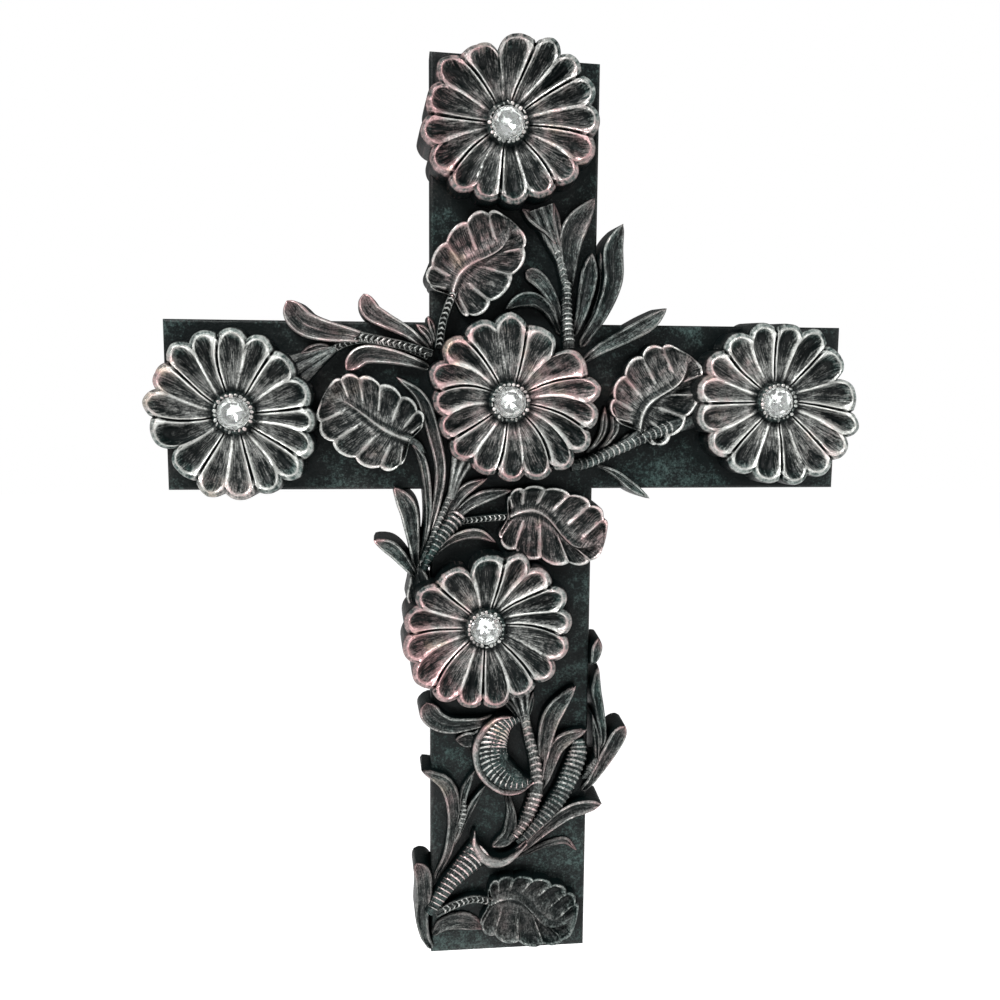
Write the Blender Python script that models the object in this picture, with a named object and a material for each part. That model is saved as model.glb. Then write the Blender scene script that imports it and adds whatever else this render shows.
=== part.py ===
"""A wall cross cast in one piece: a plain board with flowers, round leaves and acanthus sprays in high
relief, and a clear faceted stone in the cup at the middle of each flower.

Frame: the origin is on the flat back where the arms cross, +X runs to the right arm as seen from the
front, +Z runs up the shaft, and the front faces -Y. Blender units are metres.
"""

import math

import bmesh
import bpy
from mathutils import Vector

for old in list(bpy.data.objects):
    bpy.data.objects.remove(old)

MM = 0.001

# The board
CROSS_HEIGHT = 353 * MM
TOP_REACH = 129.5 * MM  # from the middle of the arms up to the top end
ARM_SPAN = 260 * MM
BAR_WIDTH = 63.5 * MM
BOARD_THICKNESS = 12 * MM
BOARD_EDGE = 1.2 * MM  # width of the softened front edge
TOP_SLOPE = 2 * MM  # the top end falls by this much from its left corner to its right one

# The flowers, as heights over the face of the board
RIM_HEIGHT = 12.5 * MM
HEART_HEIGHT = 7.5 * MM  # where the petals start, round the stone
PETAL_DEPTH = 3.2 * MM  # how far a scoop lies under the ribs on both sides of it
SCOOP_LOWEST = 0.74  # where that is, as a share of the way from the heart to the crest
CREST = 0.93  # where the rim is highest, as a share of the petals' reach
EDGE_DROP = 2.4 * MM  # from the crest of the rim down to its rolled outer edge
BEZEL_HEIGHT = 10 * MM
BEZEL_WALL = 2.1 * MM

# The stones
STONE_DIAMETER = 12.2 * MM
STONE_CROWN = 2.2 * MM  # from the girdle up to the table
CROWN_BREAK = 0.62  # where the crown's facets change slope, as a share of its height
STONE_GIRDLE = 0.6 * MM
STONE_PAVILION = 3 * MM  # from the girdle down to the small flat at the back
TABLE_SHARE = 0.56  # width of the table and of the back flat, as shares of the diameter
BACK_SHARE = 0.3
STONE_SIDES = 10
BEZEL_SIDES = 16
STONE_GAP = 0.3 * MM  # between a stone and its cup
STONE_SEAT = 1.2 * MM  # how far the girdle stands under the top of the bezel

# How the relief is built
OVERSHOOT = 2 * MM  # everything is cast past the back, and the back is then struck off flat
FOOT_STEP = 0.02 * MM  # each foot ends a little deeper than the last, so no two of them coincide
SAME_POINT = 0.001 * MM
FLAT_WITHIN = 0.00001 * MM

# The keyhole recess in the back, which hangs the cross on a screw head
KEYHOLE_HEIGHT = 84 * MM  # of the entry hole's middle over the middle of the arms
KEYHOLE_ENTRY = 12 * MM
KEYHOLE_SLOT = 6.5 * MM
KEYHOLE_RISE = 11 * MM  # from the entry hole up to where the screw rests
KEYHOLE_DEPTH = 8 * MM
KEYHOLE_LIP = 2.5 * MM  # thickness left behind the screw's head
KEYHOLE_SIDES = 16
KEYHOLE_STEP = 0.4 * MM  # keeps the three cuts' walls and floors from coinciding

# The relief was drawn in millimetres on a cross of this size, and stretches with the limb it lies on
DRAWN_BAR = 63.5
DRAWN_ARM = 130
DRAWN_TOP = 129.5
DRAWN_SHAFT = 223.5


def stretched(drawn, drawn_reach, reach):
    """The drawing's distance from the middle, on this cross. It follows the bars' width as far as the edge
    of the crossing bar, and the limb's length past it, so what lies on an edge stays on it."""
    edge = DRAWN_BAR / 2
    if abs(drawn) < edge:
        return drawn * BAR_WIDTH / DRAWN_BAR
    past = (abs(drawn) - edge) * (reach - BAR_WIDTH / 2) / (drawn_reach - edge)
    return math.copysign(BAR_WIDTH / 2 + past, drawn)


def on_cross(x, z):
    """The drawing's point (x, z) in millimetres, as a place on this cross."""
    across = stretched(x, DRAWN_ARM, ARM_SPAN / 2)
    if z > 0:
        return Vector((across, 0, stretched(z, DRAWN_TOP, TOP_REACH)))
    return Vector((across, 0, stretched(z, DRAWN_SHAFT, CROSS_HEIGHT - TOP_REACH)))


def raised(point, height):
    """A place on the cross, brought forward to a height over the face of the board."""
    return Vector((point.x, -(BOARD_THICKNESS + height), point.z))


def material(name, colour, roughness, metallic, transmission=0.0):
    made = bpy.data.materials.new(name)
    made.use_nodes = True
    shader = made.node_tree.nodes["Principled BSDF"]
    shader.inputs["Base Color"].default_value = (*colour, 1)
    shader.inputs["Roughness"].default_value = roughness
    shader.inputs["Metallic"].default_value = metallic
    shader.inputs["Transmission Weight"].default_value = transmission
    return made


ANTIQUED = material("antiqued_resin", (0.045, 0.052, 0.052), 0.42, 0.6)
CRYSTAL = material("clear_crystal", (0.9, 0.92, 0.9), 0.02, 0.0, transmission=0.9)


def is_flat(face):
    face.normal_update()
    middle = face.calc_center_median()
    return all(abs((vert.co - middle).dot(face.normal)) < FLAT_WITHIN for vert in face.verts)


def new_object(name, mesh_maker, finish, smooth_below=None):
    """An object whose mesh is made by mesh_maker(bm), closed and facing out."""
    bm = bmesh.new()
    mesh_maker(bm)
    bmesh.ops.remove_doubles(bm, verts=bm.verts, dist=SAME_POINT)
    bent = [face for face in bm.faces if not is_flat(face)]
    bmesh.ops.triangulate(bm, faces=bent)  # a Boolean wants flat faces
    bmesh.ops.recalc_face_normals(bm, faces=bm.faces)
    mesh = bpy.data.meshes.new(name)
    bm.to_mesh(mesh)
    bm.free()
    mesh.materials.append(finish)
    if smooth_below is not None:
        mesh.shade_smooth()
        mesh.set_sharp_from_angle(angle=math.radians(smooth_below))
    made = bpy.data.objects.new(name, mesh)
    bpy.context.scene.collection.objects.link(made)
    return made


def loft(bm, rings, cap_first=True):
    """Closed skin through rings of points, with its ends capped. A ring may have a whole number of times
    as many points as the one before it."""
    made = [[bm.verts.new(point) for point in ring] for ring in rings]
    for inner, outer in zip(made, made[1:]):
        finer = len(outer) // len(inner)
        for i, corner in enumerate(inner):
            following = inner[(i + 1) % len(inner)]
            fan = [outer[(i * finer + k) % len(outer)] for k in range(finer + 1)]
            if finer == 1:
                bm.faces.new((corner, following, fan[1], fan[0]))
                continue
            middle = finer // 2
            for k in range(finer):
                bm.faces.new((corner if k < middle else following, fan[k + 1], fan[k]))
            bm.faces.new((corner, following, fan[middle]))
    if cap_first:
        bm.faces.new(reversed(made[0]))
    bm.faces.new(made[-1])


# Everything in the relief is a helper object that a Boolean joins to the board
relief = bpy.data.collections.new("relief")
cutters = bpy.data.collections.new("cutters")
for group in (relief, cutters):
    bpy.context.scene.collection.children.link(group)


def as_helper(made, group):
    """Hides an object from the render and hands it to a Boolean's collection."""
    made.hide_render = True
    made.display_type = "WIRE"
    bpy.context.scene.collection.objects.unlink(made)
    group.objects.link(made)
    return made


def foot_depth():
    """How far behind the back the next piece of relief ends."""
    return OVERSHOOT + FOOT_STEP * len(relief.objects)


# The board, with square ends and a softened front edge
def board_outline():
    half = BAR_WIDTH / 2
    arm = ARM_SPAN / 2
    foot = TOP_REACH - CROSS_HEIGHT
    return (
        (-half, TOP_REACH),
        (half, TOP_REACH - TOP_SLOPE),
        (half, half),
        (arm, half),
        (arm, -half),
        (half, -half),
        (half, foot),
        (-half, foot),
        (-half, -half),
        (-arm, -half),
        (-arm, half),
        (-half, half),
    )


def make_board(bm):
    back = [bm.verts.new((x, 2 * OVERSHOOT, z)) for x, z in board_outline()]
    body = bm.faces.new(back)
    moved = bmesh.ops.extrude_face_region(bm, geom=[body])["geom"]
    front = [item for item in moved if isinstance(item, bmesh.types.BMVert)]
    bmesh.ops.translate(bm, verts=front, vec=(0, -BOARD_THICKNESS - 2 * OVERSHOOT, 0))
    rim = [edge for edge in bm.edges if all(vert in front for vert in edge.verts)]
    bmesh.ops.bevel(bm, geom=rim, offset=BOARD_EDGE, segments=2, profile=0.6, affect="EDGES")


# The flowers: eight petals each, and two scooped lobes with a rib between them to a petal. A row is a
# petal, clockwise: the bearing of the gap before it at the rim and at the heart, and both lobes' reach
FLOWERS = {
    "top": ((-3.5, 103), (
        (129, 122, 28.5, 30.5), (71, 80, 33.5, 33.5), (33, 40, 34, 33.5), (-8, -2, 33.5, 31.5),
        (-51, -43, 29.5, 29.5), (-97, -100, 29.5, 31.5), (-138, -151, 32.5, 32.5), (-183, -184, 30.5, 32.5),
    )),
    "left": ((-104, -2.5), (
        (141, 153, 32.5, 31.5), (99, 109, 31, 30.5), (56, 57, 29, 29.5), (5, 1, 30, 32),
        (-34, -40, 33.5, 32.5), (-74, -74, 32, 32), (-119, -116, 29, 30), (-177, -167, 32, 30.5),
    )),
    "centre": ((-2, 2), (
        (171, 150, 32.5, 33), (126, 120, 32.5, 33.5), (78, 72, 30, 32), (19, 30, 35, 34),
        (-19, -6, 34.5, 33.5), (-57, -41, 31.5, 30), (-101, -96, 29, 29.5), (-148, -145, 28.5, 29),
    )),
    "right": ((102.5, 2.5), (
        (96, 97, 30, 31.5), (51, 49, 29.5, 30.5), (-7, 0, 34, 34), (-45, -39, 34, 33),
        (-87, -80, 31.5, 31.5), (-134, -130, 32.5, 33.5), (-179, -179, 33.5, 33.5), (-220, -219, 32.5, 31.5),
    )),
    "lower": ((-10.5, -85.5), (
        (136, 135, 28, 29.5), (76, 74, 33, 32.5), (35, 48, 34, 33.5), (-4, 9, 33, 32),
        (-47, -43, 30.5, 31.5), (-93, -93, 31.5, 33), (-133, -141, 34, 33), (-179, -179, 32, 31),
    )),
}

# Across a petal, from its gap to the next one: how far, what is there, and its share of the lobe's reach
PETAL_STEPS = (
    (0.0, "gap", 0.93), (0.09, "rib", 0.955), (0.2, "scoop", 1.0), (0.36, "scoop", 1.0),
    (0.5, "rib", 0.93), (0.64, "scoop", 1.0), (0.8, "scoop", 1.0), (0.91, "rib", 0.955),
)


def petal_height(kind, out):
    """Height over the board at a share of the way from the heart to the rim's crest."""
    top = HEART_HEIGHT + (RIM_HEIGHT - HEART_HEIGHT) * out
    sunk = kind == "gap" or (kind == "scoop" and 0 < out < 1)
    return top - PETAL_DEPTH if sunk else top


def petal_ring(petals, start, out, crest, edge=False):
    """One ring of a flower, as (x, z, height) offsets from its middle. out runs from the heart to the rim,
    crest is that far as a share of the petals' reach, and start is the radius of the heart."""
    ring = []
    for i, (rim_gap, heart_gap, first, second) in enumerate(petals):
        turn = 0 if i + 1 < len(petals) else -360
        rim_next, heart_next = (value + turn for value in petals[(i + 1) % len(petals)][:2])
        before = petals[i - 1][3]
        gap = heart_gap + (rim_gap - heart_gap) * out
        following = heart_next + (rim_next - heart_next) * out
        for across, kind, share in PETAL_STEPS:
            reach = first if across < 0.5 else second
            if kind == "gap":
                reach = (before + first) / 2
            elif across == 0.5:
                reach = (first + second) / 2
            radius = start + (reach * share * MM * crest - start) * out
            bearing = math.radians(gap + (following - gap) * across)
            height = petal_height(kind, out) - (EDGE_DROP if edge else 0)
            ring.append((radius * math.cos(bearing), radius * math.sin(bearing), height))
    return ring


def make_flower(middle, petals, foot):
    def maker(bm):
        def placed(ring):
            return [raised(middle + Vector((x, 0, z)), height) for x, z, height in ring]

        def turned(radius, height):
            first = math.radians(petals[0][1])
            steps = (first - math.tau * i / BEZEL_SIDES for i in range(BEZEL_SIDES))
            return placed([(radius * math.cos(a), radius * math.sin(a), height) for a in steps])

        cup = (STONE_DIAMETER / 2 + STONE_GAP) / math.cos(math.pi / BEZEL_SIDES)
        bezel = cup + BEZEL_WALL
        floor = BEZEL_HEIGHT - STONE_SEAT - STONE_PAVILION - STONE_GIRDLE - STONE_GAP
        rings = [
            turned(cup, floor),
            turned(cup, BEZEL_HEIGHT - BEZEL_WALL / 3),
            turned(cup + BEZEL_WALL / 2, BEZEL_HEIGHT),
        ]
        rings.append(placed(petal_ring(petals, bezel, 0, 1)[::2]))
        rings.append(placed(petal_ring(petals, bezel, SCOOP_LOWEST, CREST)))
        rings.append(placed(petal_ring(petals, bezel, 1, CREST)))
        outer = petal_ring(petals, bezel, 1, 1, edge=True)
        rings.append(placed(outer))
        rings.append([Vector((middle.x + x, foot, middle.z + z)) for x, z, height in outer])
        loft(bm, rings)

    return maker


# A stone: a turned brilliant, foiled at the back, whose girdle is held by the bezel
def make_stone(middle, first_bearing):
    turns = [math.radians(first_bearing) - math.tau * i / STONE_SIDES for i in range(STONE_SIDES)]

    def maker(bm):
        radius = STONE_DIAMETER / 2
        girdle = BEZEL_HEIGHT - STONE_SEAT
        levels = (
            (radius * BACK_SHARE, girdle - STONE_GIRDLE - STONE_PAVILION),
            (radius, girdle - STONE_GIRDLE),
            (radius, girdle),
            (radius * (1 + TABLE_SHARE) / 2, girdle + STONE_CROWN * CROWN_BREAK),
            (radius * TABLE_SHARE, girdle + STONE_CROWN),
        )
        loft(bm, [
            [raised(middle + Vector((size * math.cos(a), 0, size * math.sin(a))), height) for a in turns]
            for size, height in levels
        ])

    return maker


board = new_object("cross_casting", make_board, ANTIQUED, smooth_below=35)
for name, (place, petals) in FLOWERS.items():
    middle = on_cross(*place)
    flower = new_object(f"flower_{name}", make_flower(middle, petals, foot_depth()), ANTIQUED)
    as_helper(flower, relief)
    new_object(f"crystal_{name}", make_stone(middle, petals[0][1]), CRYSTAL)


def along(points, share):
    """The point and the direction at a share of the way along a smooth curve through some points."""
    reach = share * (len(points) - 1)
    i = min(int(reach), len(points) - 2)
    t = reach - i
    before = points[i - 1] if i else 2 * points[0] - points[1]
    after = points[i + 2] if i + 2 < len(points) else 2 * points[-1] - points[-2]
    start, end = points[i], points[i + 1]
    leave, arrive = (end - before) / 2, (after - start) / 2
    place = (
        start * (2 * t**3 - 3 * t**2 + 1)
        + leave * (t**3 - 2 * t**2 + t)
        + end * (3 * t**2 - 2 * t**3)
        + arrive * (t**3 - t**2)
    )
    heading = (
        (start - end) * (6 * t**2 - 6 * t)
        + leave * (3 * t**2 - 4 * t + 1)
        + arrive * (3 * t**2 - 2 * t)
    )
    return place, heading.normalized()


def between(values, share):
    """A value read from an even row of them, straight from one to the next."""
    reach = share * (len(values) - 1)
    i = min(int(reach), len(values) - 2)
    return values[i] + (values[i + 1] - values[i]) * (reach - i)


# Cross sections, as (share of the half width, share of the height) from right to left
CHANNEL = ((-1, 1), (0, 0.55), (1, 1))
FLUTED = ((-1, 0.85), (-0.5, 0.62), (0, 1), (0.5, 0.62), (1, 0.85))
HALF_ROUND = ((-1, 0.55), (-0.45, 1), (0.45, 1), (1, 0.55))
RIDGED = ((-1, 0.55), (0, 1), (1, 0.55))

BLADE_ROOT = 0.45  # a blade's width at its root and at its tip, as shares of the widest
BLADE_TIP = 0.16
BLADE_WIDEST = 0.68  # where that is, from the root to the tip
BLADE_DIP = 0.2  # how much lower the tip lies, as a share of the height


def blade_width(share):
    if share < BLADE_WIDEST:
        return BLADE_ROOT + (1 - BLADE_ROOT) * math.sin(math.pi / 2 * share / BLADE_WIDEST) ** 1.5
    past = (share - BLADE_WIDEST) / (1 - BLADE_WIDEST)
    return BLADE_TIP + (1 - BLADE_TIP) * math.cos(math.pi / 2 * past)


def make_sweep(points, profile, section, foot):
    """A solid of one section along a curve, that stands on the back of the cross. A row of the profile is
    how far along it is, with the whole width and the height over the board there."""
    path = [on_cross(x, z) for x, z in points]

    def maker(bm):
        rings = []
        for share, width, height in profile:
            place, heading = along(path, share)
            side = Vector((heading.z, 0, -heading.x))
            ring = [raised(place + side * width / 2 * across, height * up) for across, up in section]
            rings.append(ring + [Vector((ring[i].x, foot, ring[i].z)) for i in (-1, 0)])
        loft(bm, rings)

    return maker


def add_blade(name, points, width, lift):
    """A pointed leaf with a raised rim along both sides and a channel between them."""
    steps = len(points)
    shares = [math.sin(math.pi / 2 * i / steps) for i in range(steps + 1)]
    profile = [
        (share, width * MM * blade_width(share), lift * MM * (1 - BLADE_DIP * share**3)) for share in shares
    ]
    made = make_sweep(points, profile, CHANNEL, foot_depth())
    as_helper(new_object(name, made, ANTIQUED), relief)


def add_stem(name, points, widths, lift, section, steps):
    shares = [i / steps for i in range(steps + 1)]
    profile = [(share, between(widths, share) * MM, lift * MM) for share in shares]
    made = make_sweep(points, profile, section, foot_depth())
    as_helper(new_object(name, made, ANTIQUED), relief)


# The sprays: a row is a blade's points from its root to its tip, its width and its height over the board
SPRAYS = {
    "upper": (
        (((21, 45), (20.5, 56), (22, 66), (30, 78)), 9.7, 5),
        (((26, 23), (33.5, 36), (37.5, 48), (37.5, 59.5), (41, 69)), 8.4, 5),
        (((23, 27), (26, 38.5), (28, 48.5), (29, 58)), 6.2, 5),
        (((18.5, 30), (14.5, 40.5), (9.5, 47.5), (4, 51)), 5.6, 5),
        (((18, 27.5), (13, 36), (8, 40), (2.5, 40), (-3.5, 36.5)), 5.6, 5),
        (((27, 17.5), (32.5, 22), (43, 27.5), (52, 32.5), (58.5, 38)), 6, 5),
    ),
    "left": (
        (((-31, 20), (-41, 23), (-53.5, 26), (-67, 27.5), (-79, 30), (-84.5, 38.5)), 8.8, 5.5),
        (((-32, 21), (-40, 27.5), (-48.5, 32), (-54, 35.5), (-56.5, 41.5)), 6.4, 5.5),
        (((-32, 14.5), (-39.5, 17), (-48.5, 19), (-57, 19), (-63, 13.5)), 6.6, 5),
        (((-36, -61.5), (-30.5, -41), (-28, -24), (-31, -8.5), (-35.5, 3.5), (-44.5, 11)), 5, 5),
    ),
    "middle": (
        (((-37, -62.5), (-38.5, -49), (-40.5, -38.5), (-45.5, -30.5)), 7, 5),
        (((-36.5, -66.5), (-41, -60.5), (-46.5, -54.5), (-53.5, -51)), 5.5, 4.5),
        (((-36, -58.5), (-33, -45), (-33, -31.5), (-35, -20), (-39.5, -13)), 3.2, 5),
        (((-33, -58.5), (-26.5, -43), (-19.5, -32.5), (-10, -27)), 4.4, 5),
        (((-28, -51), (-21.5, -41), (-13, -35), (0, -31.5)), 4.8, 5),
        (((-32, -59.5), (-26.5, -53), (-20, -49.5), (-13, -49), (-6.5, -52.5)), 4.4, 5),
        (((-37.5, -60), (-36, -70), (-37, -80)), 10, 3),
    ),
    "right": (
        (((29, -18), (34.5, -9.5), (35.5, 0.5)), 3, 5),
        (((33.5, -17), (39.5, -8.5), (38.5, 1)), 3, 4),
        (((33, -22.5), (40, -25.5), (46.5, -30.5), (54, -35.5)), 3.6, 4),
    ),
    "lower": (
        (((12.5, -147.5), (13.5, -133.5), (16.5, -122), (25.5, -110.5)), 7.2, 6),
        (((12, -156), (15, -144), (19.5, -134), (30.5, -128.5)), 5.8, 6),
        (((-4.5, -123.5), (-14.5, -125), (-24.5, -125.5), (-31, -122), (-33.5, -116)), 8.6, 4.5),
        (((-9.5, -126.5), (-14.5, -131.5), (-22, -132)), 7, 3.5),
        (((32.5, -103), (34, -98), (35, -91.5)), 4.6, 4),
        (((35.5, -141.5), (37.5, -132.5), (36, -121.5), (34.5, -112.5), (35, -103)), 4, 4),
        (((30, -156), (33.5, -150), (38.5, -142), (42.5, -135), (46.5, -128)), 7, 4),
        (((-2, -183), (6, -177), (15.5, -169), (25, -163), (37.5, -160.5)), 6.6, 5),
    ),
    "foot": (
        (((-18, -184), (-16, -177.5), (-13, -171.5)), 3, 6),
        (((-13, -183.5), (-6, -184.5), (0, -182), (5.5, -175.5)), 3.2, 6),
        (((-1, -155.5), (0.5, -164.5), (-1, -173), (-7.5, -177)), 5.6, 4.5),
        (((-30, -191), (-24.5, -176.5), (-22.5, -162), (-25.5, -150), (-35.5, -143.5)), 5.8, 5),
        (((-23.5, -174.5), (-20, -161), (-18.5, -153), (-14.5, -144)), 3, 5),
        (((-24, -180), (-19, -167.5), (-15, -158.5), (-10, -151)), 3, 5),
        (((-32.5, -218.5), (-36.5, -209), (-36, -196), (-37, -182)), 6, 3.5),
        (((-31.5, -217.5), (-28, -210), (-20, -209), (-9, -213.5)), 6, 2.6),
        (((1, -185), (8.5, -181), (16, -178), (23, -177), (28, -181.5)), 3.4, 1.5),
    ),
}
for group, blades in SPRAYS.items():
    for number, (points, width, lift) in enumerate(blades, 1):
        add_blade(f"blade_{group}_{number}", points, width, lift)

# Stems: points, widths from end to end, height over the board, section and steps
STEMS = {
    "top_flower_stem": (((21, 22.5), (20, 33), (19.5, 46)), (4.6, 4.2, 3.6), 5.5, RIDGED, 4),
    "top_flower_calyx": (((19.5, 44), (17, 54.5), (13.5, 63), (9.5, 74)), (3.2, 3.6, 6, 11), 6, FLUTED, 6),
    "left_flower_stem": (
        ((-32.5, 19), (-43, 22.5), (-54, 24.5), (-61.5, 24), (-69, 20.5)),
        (3, 2.8), 4, RIDGED, 5,
    ),
    "left_flower_calyx": (((-67, 21.5), (-73.5, 18), (-82, 13)), (2.6, 7, 13), 5.5, FLUTED, 4),
    "centre_flower_stem": (((-34.5, -59.5), (-29, -45), (-23, -31)), (3.2, 3), 5, RIDGED, 4),
    "centre_flower_calyx": (((-24, -35), (-22, -27.5), (-19, -19)), (3, 5, 10), 6, FLUTED, 4),
    "right_flower_stem": (
        ((22.5, -22.5), (30.5, -20.5), (44, -14.5), (57, -9), (76, -3)),
        (5, 4.6, 4.6, 7), 5.5, HALF_ROUND, 5,
    ),
    "lower_flower_stem": (
        ((0.5, -174), (5, -168), (8, -162), (10.5, -153), (10, -142), (7.5, -132), (5.5, -123)),
        (3, 5, 6, 5, 4), 6, HALF_ROUND, 7,
    ),
    "lower_flower_calyx": (((6.2, -127), (4.5, -119), (2.5, -109)), (3.6, 6, 12), 6.5, FLUTED, 4),
    "middle_horn": (
        ((-34.5, -62.5), (-30, -53), (-25.5, -47), (-21.5, -42)),
        (5.6, 6.2, 4.6), 7, HALF_ROUND, 6,
    ),
    "middle_leaf_stalk": (((-22.5, -44), (-13, -43), (0, -42)), (2.8, 2.6), 5, RIDGED, 4),
    "upper_leaf_stalk": (((-28.5, 22), (-27, 32), (-23, 42.5)), (3.2, 2.8), 5, RIDGED, 4),
    "left_leaf_stalk": (((-34.5, -18), (-37, -14), (-42, -11)), (3.2, 3.4), 5, RIDGED, 3),
    "lower_leaf_stalk": (
        ((-30, -204.5), (-22, -201), (-14, -199), (-6, -201)),
        (3.4, 3.2), 4.5, RIDGED, 5,
    ),
    "right_leaf_stalk": (((40, -15.5), (45, -12.5), (50, -8)), (3, 3), 5, RIDGED, 3),
    "lower_curl": (
        ((9.5, -149.5), (0, -147), (-6.5, -141), (-8.5, -133.5), (-6, -127), (-1, -121)),
        (3, 9, 12.4, 12.2, 9.5, 6), 7.5, HALF_ROUND, 9,
    ),
    "right_horn": (
        ((3, -175), (8.5, -170), (14.5, -163.5), (20, -156), (24, -147.5), (27, -139), (27, -132)),
        (3, 4.6, 6.2, 7.4, 8, 7.6, 5), 6.5, HALF_ROUND, 8,
    ),
    "foot_horn": (
        ((-32.5, -204), (-25.5, -193), (-19, -185), (-12, -179)),
        (4.6, 6.6, 8.6, 11.4), 6, HALF_ROUND, 5,
    ),
}
for name, (points, widths, lift, section, steps) in STEMS.items():
    add_stem(name, points, widths, lift, section, steps)

# Round leaves: the stalk's end, the tip, how far the leaf spreads to the left and to the right of the
# line between them, and how far its midrib swings, as a share of its length
ROUND_LEAVES = {
    "upper_leaf": ((-23.5, 41), (-1.5, 68.5), 19, 14, 0.085, 6),
    "left_leaf": ((-39.5, -12.5), (-71, 4.5), 17, 14.5, 0.03, 6),
    "middle_leaf": ((-2, -42.5), (36, -51.5), 15.5, 14, 0.13, 6),
    "lower_leaf": ((-8.5, -201.5), (27.5, -209.5), 15, 14.5, 0.13, 5.5),
    "right_leaf": ((49, -9), (67.5, 20), 18.5, 13.5, 0.085, 6),
}
LEAF_LOBES = 5  # down each side
LEAF_SCALLOP = 0.09  # how much wider a lobe is than the notch beside it
LEAF_FULLNESS = 0.62  # the lower, the blunter the leaf's two ends
LEAF_FURROW = 0.14  # how much lower the furrow between two lobes is, as a share of the height
MIDRIB_END = 0.04  # how far from the leaf's ends the midrib stops
LEAF_RINGS = (  # how far out from the midrib, height, and share of the furrow's depth there
    (0, 0.95, 0),
    (0.3, 0.6, 1),
    (0.84, 0.74, 1),
    (1, 1, 0.4),
)


def make_round_leaf(stalk, tip, left, right, swing, lift, foot):
    start, end = on_cross(*stalk), on_cross(*tip)
    axis = end - start
    length = axis.length
    forward = axis.normalized()
    side = Vector((-forward.z, 0, forward.x))
    steps = 2 * LEAF_LOBES

    def midrib(share):
        along_it = MIDRIB_END + (1 - 2 * MIDRIB_END) * share
        return start + axis * along_it + side * swing * length * math.sin(math.tau * along_it)

    def outline(share, spread):
        lobe = 1 - LEAF_SCALLOP * abs(math.cos(math.pi * LEAF_LOBES * share))
        bulge = spread * MM * math.sin(math.pi * share) ** LEAF_FULLNESS * lobe
        return start + axis * (1 - math.cos(math.pi * share)) / 2 + side * bulge

    def maker(bm):
        shares = [i / steps for i in range(steps + 1)]
        sides = [(share, left) for share in shares] + [(share, -right) for share in shares[-2:0:-1]]
        rings = []
        for out, up, furrow in LEAF_RINGS:
            ring = []
            for i, (share, spread) in enumerate(sides):
                place = midrib(share).lerp(outline(share, spread), out)
                dip = LEAF_FURROW * furrow if i % 2 == 0 else 0
                ring.append(raised(place, lift * MM * (up - dip)))
            rings.append(ring)
        rings.append([Vector((place.x, foot, place.z)) for place in rings[-1]])
        loft(bm, rings, cap_first=False)

    return maker


for name, (stalk, tip, left, right, swing, lift) in ROUND_LEAVES.items():
    made = make_round_leaf(stalk, tip, left, right, swing, lift, foot_depth())
    as_helper(new_object(name, made, ANTIQUED), relief)


# Cutters: the plane that strikes the back off flat, and the keyhole
def make_back(bm):
    bmesh.ops.create_cube(bm, size=1)
    bmesh.ops.scale(bm, verts=bm.verts, vec=(2 * ARM_SPAN, 10 * OVERSHOOT, 3 * CROSS_HEIGHT))
    bmesh.ops.translate(bm, verts=bm.verts, vec=(0, 5 * OVERSHOOT, 0))


def slot_outline(width, rise):
    """A round-ended slot's outline that starts round the entry hole's middle and runs up."""
    half = width / 2
    count = KEYHOLE_SIDES // 2
    lower = [math.pi + math.pi * i / count for i in range(count + 1)]
    upper = [math.pi * i / count for i in range(count + 1)]
    low = [(half * math.cos(a), KEYHOLE_HEIGHT + half * math.sin(a)) for a in lower]
    high = [(half * math.cos(a), KEYHOLE_HEIGHT + rise + half * math.sin(a)) for a in upper]
    return low + high


def make_slot(outline, near, far):
    def maker(bm):
        loft(bm, [[Vector((x, -depth, z)) for x, z in outline] for depth in (near, far)])

    return maker


entry = [
    (KEYHOLE_ENTRY / 2 * math.cos(a), KEYHOLE_HEIGHT + KEYHOLE_ENTRY / 2 * math.sin(a))
    for a in (math.tau * (i + 0.5) / KEYHOLE_SIDES for i in range(KEYHOLE_SIDES))
]
CUTS = {
    "back_cut": make_back,
    "keyhole_entry": make_slot(entry, -OVERSHOOT, KEYHOLE_DEPTH),
    "keyhole_slot": make_slot(
        slot_outline(KEYHOLE_SLOT, KEYHOLE_RISE), -2 * OVERSHOOT, KEYHOLE_DEPTH - 2 * KEYHOLE_STEP
    ),
    "keyhole_channel": make_slot(
        slot_outline(KEYHOLE_ENTRY - KEYHOLE_STEP, KEYHOLE_RISE), KEYHOLE_LIP, KEYHOLE_DEPTH - KEYHOLE_STEP
    ),
}
for name, maker in CUTS.items():
    as_helper(new_object(name, maker, ANTIQUED), cutters)


def add_boolean(name, operation, group):
    """A live Boolean on the board that joins or cuts with every object of a collection."""
    joined = board.modifiers.new(name, "BOOLEAN")
    joined.operation = operation
    joined.operand_type = "COLLECTION"
    joined.collection = group
    joined.solver = "EXACT"
    joined.use_self = True


add_boolean("relief", "UNION", relief)
add_boolean("cuts", "DIFFERENCE", cutters)
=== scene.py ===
import math

import bmesh
import bpy
import numpy as np
from mathutils import Matrix, Vector


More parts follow.
